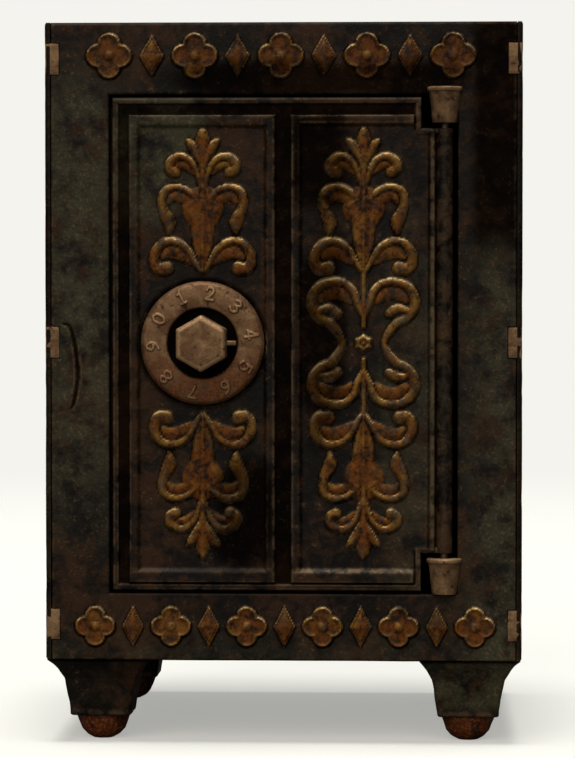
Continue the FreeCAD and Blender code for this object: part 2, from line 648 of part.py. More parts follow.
def lock_spindle():
    """Pressed into the knob, round through the door and tumblers, square in the cam, then threaded."""
    shoulder = DISC_FRONTS[2] - 0.05
    return fuse_all([
        rod_y(DIAL_X, DIAL_Z, FRONT - KNOB_PROUD + 3, shoulder, SPINDLE_RADIUS),
        square_bar(shoulder - 0.5, STACK_BACK),
        rod_y(DIAL_X, DIAL_Z, STACK_BACK - 0.5, STACK_BACK + 3.4, 1.5),
    ])


def disc(front):
    """A lock disc with its notch at the keeper, on the left of the dial."""
    half_notch = KEEPER_HEIGHT / 2 + NOTCH_CLEARANCE
    edge = DIAL_X - DISC_RADIUS
    notch = block(edge - 1, edge + NOTCH_DEPTH, front - 1, front + DISC_THICKNESS + 1,
                  DIAL_Z - half_notch, DIAL_Z + half_notch)
    return rod_y(DIAL_X, DIAL_Z, front, front + DISC_THICKNESS, DISC_RADIUS).cut(notch)


def drive_pin(face, direction, angle):
    """A pin on a disc's face; direction is -1 towards the door and 1 away from it."""
    y0, y1 = sorted((face - direction * 0.3, face + direction * DRIVE_PIN_LENGTH))
    return rod_y(*around_dial(DRIVE_PIN_CIRCLE, angle), y0, y1, DRIVE_PIN_RADIUS)


def tumbler(index):
    """A free tumbler: 0 is next to the door, and 1 is between it and the cam."""
    front = DISC_FRONTS[index]
    angle = DRIVE_PIN_ANGLE + PICK_UP_ANGLE * (1 if index else 2)
    pins = [drive_pin(front + DISC_THICKNESS, 1, angle)]
    if index:
        pins.append(drive_pin(front, -1, angle))
    shape = fuse_all([disc(front), *pins])
    return shape.cut(rod_y(DIAL_X, DIAL_Z, front - 1, front + 4, SPINDLE_RADIUS + PIN_CLEARANCE))


def drive_cam():
    """The disc that the spindle's square end turns."""
    front = DISC_FRONTS[2]
    shape = fuse_all([disc(front), drive_pin(front, -1, DRIVE_PIN_ANGLE)])
    return shape.cut(square_bar(front - 1, front + 4))


def washer(y0, y1, outer, inner):
    return rod_y(DIAL_X, DIAL_Z, y0, y1, outer).cut(rod_y(DIAL_X, DIAL_Z, y0 - 1, y1 + 1, inner))


def tumbler_spacers():
    spacers = [
        washer(front + DISC_THICKNESS + 0.05, front + DISC_THICKNESS + DISC_GAP - 0.05, 4.4, SPINDLE_RADIUS)
        for front in DISC_FRONTS[:2]
    ]
    return Part.makeCompound(spacers)


def spring_washer():
    """A dished washer under the nut, which gives the dial its drag."""
    rim, crown = STACK_BACK, STACK_BACK + 0.9
    profile = [(2.2, crown - 0.5), (4.6, rim), (4.6, rim + 0.4), (2.2, crown)]
    points = [FreeCAD.Vector(DIAL_X + r, y, DIAL_Z) for r, y in profile]
    return Part.Face(Part.makePolygon(points + points[:1])).revolve(FreeCAD.Vector(DIAL_X, 0, DIAL_Z), Y, 360)


def spindle_nut():
    front = STACK_BACK + 0.9
    return hexagon(5.5, front, front + 1.9).cut(rod_y(DIAL_X, DIAL_Z, front - 1, front + 3, 1.5))


def build():
    lower_pin, upper_pin = hinge_pins()
    right = right_side_plate()
    return {
        "front_plate": front_plate(),
        "back_plate": back_plate(),
        "left_side_plate": mirror_x(right),
        "right_side_plate": right,
        "top_plate": top_plate(),
        "base_plate": base_plate(),
        "tie_screws": tie_screws(),
        "tie_nuts": tie_nuts(),
        "door": door(),
        "lower_hinge_pin": lower_pin,
        "upper_hinge_pin": upper_pin,
        "dial_ring": dial_ring(),
        "dial_knob": dial_knob(),
        "lock_spindle": lock_spindle(),
        "front_tumbler": tumbler(0),
        "rear_tumbler": tumbler(1),
        "tumbler_spacers": tumbler_spacers(),
        "drive_cam": drive_cam(),
        "spring_washer": spring_washer(),
        "spindle_nut": spindle_nut(),
    }


def main():
    os.makedirs("parts", exist_ok=True)
    for name, shape in build().items():
        print(f"{name}: {len(shape.Solids)} solid(s), valid {shape.isValid()}, {shape.Volume:.0f} mm3")
        shape.exportStep(f"parts/{name}.step")


main()
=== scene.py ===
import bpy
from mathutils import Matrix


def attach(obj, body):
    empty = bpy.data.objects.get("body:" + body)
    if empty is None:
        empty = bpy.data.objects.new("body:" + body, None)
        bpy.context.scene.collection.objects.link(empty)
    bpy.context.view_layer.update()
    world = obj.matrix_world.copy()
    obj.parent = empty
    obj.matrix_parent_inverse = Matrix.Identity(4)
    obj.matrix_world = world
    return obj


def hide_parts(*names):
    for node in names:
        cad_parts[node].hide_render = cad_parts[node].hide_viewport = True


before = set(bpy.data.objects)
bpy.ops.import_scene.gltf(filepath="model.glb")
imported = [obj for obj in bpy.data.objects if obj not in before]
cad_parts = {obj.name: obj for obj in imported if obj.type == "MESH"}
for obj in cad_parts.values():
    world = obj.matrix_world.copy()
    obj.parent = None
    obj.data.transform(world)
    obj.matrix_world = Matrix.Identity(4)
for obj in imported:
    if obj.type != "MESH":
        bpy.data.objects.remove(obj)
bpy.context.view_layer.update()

import math

import bmesh
import bpy
import numpy as np

# ---- Sizes in millimetres, as in the CAD model ----
HALF = 50.5
WALL = 3.0
INNER = HALF - WALL
FRONT = -40.5
BACK = 48.5
MIDDLE_Y = (FRONT + BACK) / 2
CASE_BOTTOM = 17.95
CASE_TOP = 153.0
LEG_HEIGHT = 17.8
LIP = 1.1
SEAM = 0.15
PLATE_EDGE = HALF - LIP - SEAM
TENON_LEVELS = (25.5, 85.4, 145.3)
TENON_REACH = 2.95
FLARE = 0.35
DOOR_LEFT, DOOR_RIGHT, DOOR_BOTTOM, DOOR_TOP = -36.15, 29.15, 32.9, 137.1
DOOR_BACK = FRONT + 3.0
OPENING = (-36.85, 36.8, 32.2, 137.8)
HINGE_X, HINGE_Y = 34.1, FRONT + 0.3
BARREL_RADIUS, BARREL_BOTTOM, BARREL_TOP = 1.7, 40.9, 130.6
LUG_SPANS = ((32.2, 39.8), (131.7, 139.3))
LUG_RADIUS, LUG_NECK, COLLAR_RADIUS = 2.6, 3.35, 3.7
RIM_PROUD, BAND_PROUD, FIELD_PROUD = 0.6, 1.1, 0.4
LEFT_PANEL, RIGHT_PANEL = (-32.8, -1.5), (1.5, 32.3)
PANEL_BOTTOM, PANEL_TOP = 34.3, 133.6
DIAL_X, DIAL_Z = -17.0, 85.3
RING_OUTER, RING_INNER, RING_PROUD = 13.1, 7.4, 2.3
FIELD = FRONT - FIELD_PROUD
KNOB_PROUD, KNOB_FLATS = 8.0, 10.4
SPRAY_PROUD = 0.7
PASSAGE = 2.9  # half width of the lock's way through the door
BARREL_BORE = (0.85, 9.3)  # radius and depth of the hinge pins' bores
BOSS_RADIUS, BOSS_DEPTH = 6.0, 4.0
RIM_WIDTH = 1.3
PANEL_FRAME, PANEL_SILL, PANEL_HEAD = 2.2, 2.8, 2.5  # widths of a panel's raised band
STUD_CIRCLE = 10.25
KEEPER_END = -27.5
BACK_BORDER, SIDE_BORDER = 9.0, 10.0
FRIEZES = ((-41.4, 40.4, 145.9, 9), (-44.0, 44.6, 25.1, 11))  # left, right, level and count
ANKLE_OUTER, ANKLE_WIDTH, ANKLE_Z = 4.6, 13.2, 5.4
FINE, COARSE = 0.33, 0.48  # grid pitches


# ---- Numbers ----
def step(low, high, value):
    """A smooth rise from 0 at low to 1 at high."""
    t = np.clip((value - low) / (high - low), 0, 1)
    return t * t * (3 - 2 * t)


def bump_noise(u, v, size, seed):
    """Smooth noise from -1 to 1 over any two coordinates."""
    table = np.random.default_rng(seed).uniform(-1, 1, (97, 89))
    a, b = u / size, v / size
    i, j = np.floor(a).astype(int), np.floor(b).astype(int)
    s, t = a - i, b - j
    s, t = s * s * (3 - 2 * s), t * t * (3 - 2 * t)

    def at(p, q):
        return table[p % 97, q % 89]

    low = at(i, j) * (1 - s) + at(i + 1, j) * s
    high = at(i, j + 1) * (1 - s) + at(i + 1, j + 1) * s
    return low * (1 - t) + high * t


def cast_skin(u, v, seed):
    """The slight unevenness of a sand casting."""
    return (
        0.05 * bump_noise(u, v, 9.0, seed) + 0.028 * bump_noise(u, v, 2.6, seed + 1)
        + 0.016 * bump_noise(u, v, 1.0, seed + 2)
    )


def blur(grid, passes):
    """Softens a grid by averaging neighbours."""
    for _ in range(passes):
        padded = np.pad(grid, 1, mode="edge")
        grid = (padded[:-2, 1:-1] + padded[2:, 1:-1] + padded[1:-1, :-2] + padded[1:-1, 2:] + 4 * grid) / 8
    return grid


def lines(marks, pitch, fine=()):
    """Grid lines through every mark, with closer ones beside the fine places."""
    out = []
    for a, b in zip(marks, marks[1:]):
        n = max(1, math.ceil((b - a) / pitch))
        out += [a + (b - a) * k / n for k in range(n)]
    out.append(marks[-1])
    extra = [f + o for f in fine for o in (-0.42, -0.27, -0.13, 0, 0.13, 0.27, 0.42)]
    keep = sorted(set(marks))
    for value in sorted(out + [e for e in extra if marks[0] < e < marks[-1]]):
        if min(abs(value - k) for k in keep) > 0.07:
            keep.append(value)
    return np.array(sorted(keep))


def in_box(u, v, left, right, bottom, top):
    """Distance inside a rectangle, negative outside it."""
    return np.minimum(np.minimum(u - left, right - u), np.minimum(v - bottom, top - v))


def smooth_stroke(points, steps=6):
    """A Catmull-Rom curve through the points."""
    if len(points) < 3:
        return [tuple(p) for p in points]
    padded = [points[0], *points, points[-1]]
    run = []
    for a, b, c, d in zip(padded, padded[1:], padded[2:], padded[3:]):
        a, b, c, d = map(np.array, (a, b, c, d))
        for t in (k / steps for k in range(steps)):
            run.append(tuple(0.5 * (
                2 * b + (c - a) * t + (2 * a - 5 * b + 4 * c - d) * t ** 2 + (3 * b - a - 3 * c + d) * t ** 3
            )))
    return run + [tuple(points[-1])]


def stroke_relief(us, vs, stroke, rise, base=None):
    """Adds one half-round stroke of (u, v, half width) to a relief over the grid us by vs."""
    relief = np.zeros((len(us), len(vs))) if base is None else base
    for (u0, v0, r0), (u1, v1, r1) in zip(stroke, stroke[1:]):
        reach = max(r0, r1)
        i0, i1 = np.searchsorted(us, [min(u0, u1) - reach, max(u0, u1) + reach])
        j0, j1 = np.searchsorted(vs, [min(v0, v1) - reach, max(v0, v1) + reach])
        if i0 >= i1 or j0 >= j1:
            continue
        U, V = np.meshgrid(us[i0:i1], vs[j0:j1], indexing="ij")
        length2 = max((u1 - u0) ** 2 + (v1 - v0) ** 2, 1e-9)
        t = np.clip(((U - u0) * (u1 - u0) + (V - v0) * (v1 - v0)) / length2, 0, 1)
        radius = r0 + (r1 - r0) * t
        gone = 1 - ((U - u0 - t * (u1 - u0)) ** 2 + (V - v0 - t * (v1 - v0)) ** 2) / radius ** 2
        height = rise(radius) * np.clip(gone, 0, 1) ** 0.6
        relief[i0:i1, j0:j1] = np.maximum(relief[i0:i1, j0:j1], height)
    return relief


# ---- Meshes ----
def turns(count):
    """The angles of a full turn, in even steps."""
    return np.arange(count) / count * 2 * math.pi


def linked(name, data):
    """A new object in the scene."""
    made = bpy.data.objects.new(name, data)
    bpy.context.collection.objects.link(made)
    return made


class Shell:
    """Vertices, faces and painted masks, gathered from several closed shapes of one casting."""

    # The darkening mask holds painted shade in hollows, in gaps, under and behind parts and on
    # downward-facing slopes, and some soft near-black patches. The edge mask holds rubbed wear and painted
    # highlight on upward-facing edges.
    MASKS = ("gilt", "bare", "rust", "edge", "hollow", "bloom")

    def __init__(self):
        self.points, self.faces, self.count = [], [], 0
        self.masks = {name: [] for name in self.MASKS}

    def add(self, points, faces, **masks):
        points = np.asarray(points, float)
        self.points.append(points)
        self.faces += [tuple(int(k) + self.count for k in face) for face in faces]
        self.count += len(points)
        for name in self.MASKS:
            value = masks.get(name, 0.0)
            self.masks[name].append(np.broadcast_to(np.asarray(value, float), (len(points),)))

    def make(self, name, material, body, replaced, sharp=40):
        mesh = bpy.data.meshes.new(name)
        mesh.from_pydata((np.concatenate(self.points) / 1000).tolist(), [], self.faces)
        for mask, parts in self.masks.items():
            attribute = mesh.attributes.new(mask, "FLOAT", "POINT")
            attribute.data.foreach_set("value", np.concatenate(parts).astype(np.float32))
        mesh.polygons.foreach_set("use_smooth", [True] * len(mesh.polygons))
        mesh.set_sharp_from_angle(angle=math.radians(sharp))
        mesh.materials.append(material)
        piece = linked(name, mesh)
        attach(piece, body)
        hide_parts(replaced)
        return piece


def ring_faces(rows, count, first=0, wrap=False, flipped=False):
    """Quads between rows of points that are each a closed ring."""
    faces = []
    for i in range(rows if wrap else rows - 1):
        low, high = first + i * count, first + (i + 1) % rows * count
        for k in range(count):
            j = (k + 1) % count
            quad = (low + k, low + j, high + j, high + k)
            faces.append((quad[0], *quad[:0:-1]) if flipped else quad)
    return faces


def relief_sheet(shell, us, vs, heights, inside, depth, place, back, **masks):
    """A relief over the cells inside, walls down to a flat back, and the back as a few rectangles."""
    U, V = np.meshgrid(us, vs, indexing="ij")
    mids = np.meshgrid((us[1:] + us[:-1]) / 2, (vs[1:] + vs[:-1]) / 2, indexing="ij")
    used = inside(*mids)
    n = len(vs)
    index = np.arange(len(us) * n).reshape(len(us), n)
    corners = np.stack([index[:-1, :-1], index[1:, :-1], index[1:, 1:], index[:-1, 1:]], axis=-1)[used]
    edges = np.concatenate([corners[:, [k, (k + 1) % 4]] for k in range(4)])
    keys = {tuple(e) for e in edges.tolist()}
    rim = [e for e in keys if (e[1], e[0]) not in keys]
    kept = np.unique(corners)
    rename = np.full(index.size, -1)
    rename[kept] = np.arange(len(kept))
    rim_points = sorted({p for e in rim for p in e})
    drop = {p: len(kept) + k for k, p in enumerate(rim_points)}
    flat = [grid.ravel() for grid in (U, V, heights)]
    top = place(flat[0][kept], flat[1][kept], flat[2][kept])
    low = place(flat[0][rim_points], flat[1][rim_points], np.full(len(rim_points), -depth))
    faces = rename[corners].tolist()
    faces += [(rename[b], rename[a], drop[a], drop[b]) for a, b in rim]
    base = len(kept) + len(rim_points)
    back_points = []
    for left, right, bottom, upper in back:
        at = base + len(back_points)
        back_points += [(left, bottom), (left, upper), (right, upper), (right, bottom)]
        faces.append((at, at + 1, at + 2, at + 3))
    points = [top, low]
    if back_points:
        bu, bv = np.array(back_points).T
        points.append(place(bu, bv, np.full(len(bu), -depth)))
    painted = {}
    blurred = blur(heights, 6)
    # Raised ridges are brightened as rubbed wear, and hollows are darkened as painted shade.
    masks.setdefault("edge", step(0.015, 0.10, heights - blurred))
    masks.setdefault("hollow", step(0.015, 0.12, blurred - heights))
    for name, grid in masks.items():
        grid = np.broadcast_to(grid, U.shape).ravel()
        painted[name] = np.concatenate([grid[kept], grid[rim_points] * 0.3, np.zeros(len(back_points))])
    shell.add(np.concatenate(points), faces, **painted)


def place_front(u, v, h):
    return np.stack([u, FRONT - h, v], axis=-1)


def place_back(u, v, h):
    return np.stack([-u, BACK + h, v], axis=-1)


def place_right(u, v, h):
    return np.stack([HALF + h, MIDDLE_Y + u, v], axis=-1)


def place_left(u, v, h):
    return np.stack([-HALF - h, MIDDLE_Y - u, v], axis=-1)


def rounded_box(shell, low, high, radius=0.3, cuts=0, rough=0.0, seed=1, **masks):
    """A box with worn edges."""
    def corner(place):
        return [(a + b) / 2 + c * (b - a) for a, b, c in zip(low, high, place)]

    worn_block(shell, corner, radius, cuts, 3, rough, seed, **masks)


def worn_block(shell, corner, radius, cuts, segments, rough, seed, **masks):
    """A block with worn edges, its eight corners moved from a unit cube's by a function."""
    bm = bmesh.new()
    bmesh.ops.create_cube(bm, size=1.0)
    for v in bm.verts:
        v.co = corner(v.co)
    if cuts:
        bmesh.ops.subdivide_edges(bm, edges=bm.edges[:], cuts=cuts, use_grid_fill=True)
    sharp = [e for e in bm.edges if e.calc_face_angle(0) > 0.8]
    bmesh.ops.bevel(bm, geom=sharp, offset=radius, segments=segments, profile=0.5, affect="EDGES")
    bm.normal_update()
    bm.verts.index_update()
    points = np.array([v.co[:] for v in bm.verts])
    if rough:
        normals = np.array([v.normal[:] for v in bm.verts])
        wave = bump_noise(points[:, 0] + points[:, 1] * 0.7, points[:, 2] + points[:, 1], 1.3, seed)
        points = points + normals * (wave * rough)[:, None]
    shell.add(points, [[v.index for v in f.verts] for f in bm.faces], **masks)
    bm.free()


def turned(shell, profile, origin, axis, count=64, rough=0.0, seed=1, capped=True, **masks):
    """A shape turned about an axis, from a profile of (radius, distance along it).

    Uncapped, the profile closes on itself and the shape is a tube.
    """
    angles = turns(count)
    radii, along = np.array(profile, float).T
    first, second = np.outer(radii, np.cos(angles)).ravel(), np.outer(radii, np.sin(angles)).ravel()
    along = np.repeat(along, count)
    points = np.stack([first, second, along] if axis == "z" else [first, along, second], axis=-1)
    if rough:
        flat = points * np.array([1, 1, 0] if axis == "z" else [1, 0, 1])
        reach = np.linalg.norm(flat, axis=1)
        around = np.tile(np.cos(angles), len(profile)) * 3 + 5
        wave = rough * bump_noise(around, along, 1.1, seed)
        points = points + flat / (reach[:, None] + 1e-9) * (wave * step(0.5, 1.5, reach))[:, None]
    faces = ring_faces(len(profile), count, wrap=not capped)
    if capped:
        faces += [list(range(count))[::-1], [len(points) - count + k for k in range(count)]]
    if axis == "y":
        faces = [f[::-1] for f in faces]
    shell.add(points + np.array(origin), faces, **masks)


def rounded_profile(radius, low, high, soft=0.3, bore=None):
    """A plain cylinder's profile with soft ends, and a blind (radius, depth) bore in each end if asked."""
    arc = np.linspace(0, math.pi / 2, 5)
    bottom = [(radius - soft + soft * math.sin(t), low + soft * (1 - math.cos(t))) for t in arc]
    top = [(radius - soft + soft * math.cos(t), high - soft + soft * math.sin(t)) for t in arc]
    n = max(2, int((high - low) / 0.8))
    middle = [(radius, low + soft + (high - low - 2 * soft) * k / n) for k in range(1, n)]
    outside = bottom + middle + top
    if not bore:
        return [(0.01, low), *outside, (0.01, high)]
    r, deep = bore
    into = [(0.01, low + deep), (r, low + deep), (r, low)]
    return into + outside + [(r, high), (r, high - deep), (0.01, high - deep)]


# ---- Scrollwork: strokes of (distance from the axis, height above the dial, half width) ----
MIDDLE_STROKES = [
    [(0.0, 45.6, 0.3), (0.0, 43.0, 1.25), (0.0, 40.0, 0.95), (0.0, 36.0, 0.75), (0.0, 30.4, 0.7)],
]
FLOWER = [(0.0, 31.0, 0.3), (0.0, 28.9, 3.9), (0.0, 26.3, 2.4), (0.0, 21.0, 1.8), (0.0, 15.2, 0.3)]
SIDE_STROKES = [
    [(0.3, 38.0, 0.6), (1.5, 40.6, 0.9), (2.6, 42.2, 0.75), (3.4, 43.0, 0.2)],
    [(0.3, 33.4, 0.5), (1.3, 36.4, 0.6), (2.7, 38.5, 0.7), (4.7, 39.4, 0.85), (6.6, 38.5, 0.9),
     (7.0, 36.9, 0.95), (5.9, 36.1, 1.15)],
    [(0.6, 29.8, 0.5), (2.3, 31.4, 0.65), (3.9, 32.5, 0.7), (6.0, 32.9, 0.75), (7.9, 32.1, 0.8),
     (8.6, 30.2, 0.8), (8.2, 28.0, 0.9), (7.2, 26.0, 1.2), (7.0, 24.6, 0.9), (7.2, 23.0, 0.25)],
    [(0.3, 15.2, 0.5), (2.0, 17.8, 0.65), (3.4, 20.0, 0.7), (5.0, 21.1, 0.8), (6.9, 21.5, 0.85),
     (8.9, 20.8, 0.85), (10.1, 18.9, 0.95), (10.2, 16.9, 1.0), (9.2, 15.6, 1.1), (7.6, 15.8, 1.3)],
]
LEAF_STROKES = [
    [(2.3, 17.0, 0.5), (4.6, 18.8, 1.3), (6.8, 19.3, 1.3), (8.4, 18.2, 0.6)],
    [(2.4, 29.6, 0.4), (4.4, 30.9, 1.1), (6.2, 31.0, 1.0), (7.2, 29.9, 0.5)],
    [(2.0, 35.8, 0.3), (3.6, 37.5, 0.8), (5.3, 37.7, 0.7)],
]
RIGHT_MIDDLE_STROKES = [[(0.0, 15.6, 0.5), (0.0, 9.0, 0.55), (0.0, 3.4, 0.4)]]
RIGHT_SIDE_STROKES = [
    [(0.0, 5.6, 0.5), (1.3, 8.6, 0.7), (2.2, 11.0, 0.75), (4.0, 12.6, 0.8), (6.6, 12.9, 0.85),
     (9.2, 12.0, 0.9), (10.7, 9.8, 0.95), (10.5, 7.2, 0.95), (9.0, 5.2, 0.9), (7.0, 4.2, 0.85),
     (5.6, 2.6, 0.8), (4.6, 0.9, 0.6), (4.4, 0.0, 0.5)],
    [(9.4, 6.7, 0.6), (8.0, 7.2, 0.9), (6.6, 7.0, 1.0), (5.4, 6.2, 0.8)],
]
RIGHT_LEAF_STROKES = [[(2.6, 8.6, 0.4), (4.4, 10.3, 1.2), (6.8, 10.6, 1.3), (8.9, 9.2, 0.8)]]

NUMERAL_ANGLES = {0: 151, 1: 115, 2: 81, 3: 47, 4: 10, 5: -29, 6: -62, 7: -101, 8: -137, 9: -176}
NUMERALS = {
    0: [[(0, 0.46), (-0.24, 0.28), (-0.28, 0), (-0.24, -0.28), (0, -0.46)],
        [(0, 0.46), (0.24, 0.28), (0.28, 0), (0.24, -0.28), (0, -0.46)]],
    1: [[(0.02, 0.5), (0.02, -0.46)], [(-0.17, 0.3), (0.02, 0.44)], [(-0.16, -0.44), (0.2, -0.44)]],
    2: [[(-0.26, 0.22), (-0.14, 0.44), (0.14, 0.44), (0.24, 0.2), (0.06, -0.12), (-0.24, -0.4)],
        [(-0.26, -0.42), (0.28, -0.42)]],
    3: [[(-0.26, 0.36), (0, 0.46), (0.22, 0.26), (-0.04, 0.04)],
        [(-0.04, 0.04), (0.26, -0.18), (0.02, -0.46), (-0.28, -0.34)]],
    4: [[(0.12, -0.48), (0.12, 0.48)], [(0.1, 0.42), (-0.26, -0.16)], [(-0.3, -0.18), (0.3, -0.18)]],
    5: [[(0.24, 0.42), (-0.2, 0.42)], [(-0.18, 0.44), (-0.22, 0.04)],
        [(-0.2, 0.08), (0.06, 0.14), (0.26, -0.14), (0.02, -0.46), (-0.28, -0.34)]],
    6: [[(0.2, 0.44), (-0.12, 0.28), (-0.27, -0.12), (-0.1, -0.42), (0.12, -0.42)],
        [(-0.22, -0.02), (0.04, 0.06), (0.25, -0.14), (0.06, -0.44)]],
    7: [[(-0.28, 0.42), (0.28, 0.42)], [(0.24, 0.4), (0.02, -0.02), (-0.08, -0.48)]],
    8: [[(0, 0.04), (-0.21, 0.15), (-0.21, 0.33), (0, 0.46)],
        [(0, 0.04), (0.21, 0.15), (0.21, 0.33), (0, 0.46)],
        [(0, 0.04), (-0.26, -0.1), (-0.26, -0.32), (0, -0.46)],
        [(0, 0.04), (0.26, -0.1), (0.26, -0.32), (0, -0.46)]],
    9: [[(-0.2, -0.44), (0.12, -0.28), (0.27, 0.12), (0.1, 0.42), (-0.12, 0.42)],
        [(0.22, 0.02), (-0.04, -0.06), (-0.25, 0.14), (-0.06, 0.44)]],
}


# ---- Materials ----
class Graph:
    """A few words for building a node material."""

    def __init__(self, name):
        self.material = bpy.data.materials.new(name)
        self.material.use_nodes = True
        self.tree = self.material.node_tree
        self.shader = self.tree.nodes["Principled BSDF"]
        self.where = self.tree.nodes.new("ShaderNodeTexCoord").outputs["Object"]

    def put(self, socket, value):
        if isinstance(value, bpy.types.NodeSocket):
            self.tree.links.new(value, socket)
        else:
            socket.default_value = (*value, 1.0) if isinstance(value, tuple) and len(value) == 3 else value

    def fill(self, node, **inputs):
        for name, value in inputs.items():
            self.put(node.inputs[name.replace("_", " ").title().replace("Ior", "IOR")], value)
        return node

    def node(self, kind, **inputs):
        return self.fill(self.tree.nodes.new("ShaderNode" + kind), **inputs)

    def noise(self, scale, detail=4.0, roughness=0.55, distortion=0.0):
        settings = {"scale": scale, "detail": detail, "roughness": roughness, "distortion": distortion}
        return self.node("TexNoise", vector=self.where, **settings).outputs["Fac"]

    def pits(self, scale):
        return self.node("TexVoronoi", vector=self.where, scale=scale).outputs["Distance"]

    def mask(self, name):
        node = self.node("Attribute")
        node.attribute_name = name
        return node.outputs["Fac"]

    def ramp(self, value, low, high, to=(0.0, 1.0)):
        node = self.node("MapRange", value=value, from_min=low, from_max=high, to_min=to[0], to_max=to[1])
        node.interpolation_type = "SMOOTHSTEP"
        return node.outputs["Result"]

    def math(self, operation, a, b):
        node = self.node("Math")
        node.operation = operation
        node.use_clamp = True
        self.put(node.inputs[0], a)
        self.put(node.inputs[1], b)
        return node.outputs[0]

    def times(self, a, b):
        return self.math("MULTIPLY", a, b)

    def plus(self, a, b):
        return self.math("ADD", a, b)

    def larger(self, a, b):
        return self.math("MAXIMUM", a, b)

    def mix(self, a, b, factor):
        node = self.node("Mix")
        node.data_type = "RGBA"
        return self.fill(node, factor=factor, a=a, b=b).outputs["Result"]

    def bump(self, height, strength, distance, normal=None):
        node = self.node("Bump", strength=strength, distance=distance, height=height)
        if normal is not None:
            self.put(node.inputs["Normal"], normal)
        return node.outputs["Normal"]

    def finish(self, **inputs):
        self.fill(self.shader, **inputs)
        return self.material


BLACK = (0.0020, 0.0011, 0.0008)
BROWN = (0.026, 0.0110, 0.0042)
GREY = (0.082, 0.060, 0.034)
BLOOM = (0.034, 0.034, 0.018)
# Colour of rubbed edges, also used as painted highlight on upward-facing edges.
WORN_AND_LIT = (0.135, 0.092, 0.052)
BARE = (0.30, 0.185, 0.098)
GILT = (0.165, 0.085, 0.016)
# Pale gold painted highlight for the gilt's upward-facing edges.
GILT_HIGHLIGHT = (0.70, 0.50, 0.23)
AMBER = (0.115, 0.036, 0.005)
RUST = (0.085, 0.018, 0.006)
RUST_LIGHT = (0.20, 0.070, 0.018)
RUST_DARK = (0.020, 0.006, 0.004)
METAL_DULL = (0.115, 0.060, 0.030)
METAL_STAIN = (0.034, 0.017, 0.009)
STEEL_RUST = (0.07, 0.035, 0.018)


def iron(name, wear=1.0):
    """Black japan on cast iron, worn through, with gilt, bare and rusted places, painted shade and painted
    highlights where the masks say.
    """
    g = Graph(name)
    big, mid, fine = g.noise(48, 3), g.noise(330, 6, 0.66, 0.4), g.noise(1500, 4, 0.6)
    grain = g.noise(4200, 2, 0.5)
    hollow = g.mask("hollow")
    patch = g.ramp(g.plus(g.times(big, 0.5), g.times(mid, 0.5)), 0.45, 0.60)
    color = g.mix(BLACK, BROWN, g.times(patch, wear))
    speck = g.times(g.ramp(fine, 0.55, 0.70), g.ramp(mid, 0.46, 0.62))
    color = g.mix(color, GREY, g.times(speck, 0.6 * wear))
    film = g.times(g.mask("bloom"), g.ramp(g.noise(150, 6, 0.68), 0.36, 0.60))
    color = g.mix(color, g.mix(BLOOM, GREY, g.ramp(fine, 0.48, 0.68)), film)
    # Painted shade: near black where the darkening mask is high.
    color = g.mix(color, BLACK, g.times(hollow, 0.9))
    # Edges turn to the worn colour: rubbed wear, and painted highlight on upward-facing edges.
    edge_brightening = g.mask("edge")
    edge = g.times(edge_brightening, g.ramp(mid, 0.38, 0.60, (0.05, 0.9)))
    color = g.mix(color, WORN_AND_LIT, edge)
    left = g.times(g.mask("gilt"), g.ramp(g.noise(420, 6, 0.7), 0.38, 0.56, (0.10, 1.0)))
    # The gilt is lighter on edges, partly rubbed wear and partly painted highlight.
    tone = g.plus(g.times(g.noise(210, 4, 0.6), 0.75), g.times(edge_brightening, 0.30))
    paint = g.mix(AMBER, GILT, g.ramp(tone, 0.38, 0.64))
    paint = g.mix(paint, BROWN, g.ramp(g.noise(700, 5, 0.7), 0.50, 0.64, (0.0, 0.8)))
    # Painted highlight on the gilt's brightest edges.
    highlight_on_gilt = g.times(g.ramp(edge_brightening, 0.5, 1.0), g.ramp(mid, 0.42, 0.56, (0.15, 0.85)))
    paint = g.mix(paint, GILT_HIGHLIGHT, highlight_on_gilt)
    # Painted shade on the gilt.
    paint = g.mix(paint, BLACK, g.times(hollow, 0.85))
    color = g.mix(color, paint, left)
    # Bare metal is lighter on edges, partly rubbed wear and partly painted highlight.
    polish = g.ramp(g.plus(g.times(mid, 0.75), g.times(edge_brightening, 0.25)), 0.28, 0.62)
    metal = g.mix(METAL_DULL, BARE, polish)
    metal = g.mix(metal, METAL_STAIN, g.ramp(g.noise(620, 6, 0.7), 0.54, 0.68))
    # Painted shade on the bare metal.
    metal = g.mix(metal, BLACK, g.times(hollow, 0.85))
    bare = g.mask("bare")
    color = g.mix(color, metal, bare)
    scale = g.mix(RUST, RUST_LIGHT, g.ramp(fine, 0.44, 0.66))
    scale = g.mix(scale, RUST_DARK, g.ramp(mid, 0.50, 0.64))
    color = g.mix(color, scale, g.mask("rust"))
    grit = g.plus(g.times(mid, 0.6), g.times(fine, 0.4))
    rough = g.ramp(grit, 0.35, 0.65, (0.42, 0.66))
    shine = g.larger(g.times(bare, 0.5), g.times(left, 0.35))
    shine = g.larger(shine, g.times(edge, 0.35))
    skin = g.bump(g.plus(g.times(mid, 0.7), g.times(fine, 0.3)), 0.6, 0.00024)
    skin = g.bump(grain, 0.4, 0.00005, skin)
    skin = g.bump(g.ramp(g.pits(900), 0.05, 0.30), 0.3, 0.00006, skin)
    gloss = g.ramp(hollow, 0.0, 0.9, (0.12, 0.01))
    return g.finish(base_color=color, roughness=rough, metallic=shine, normal=skin, specular_ior_level=gloss)


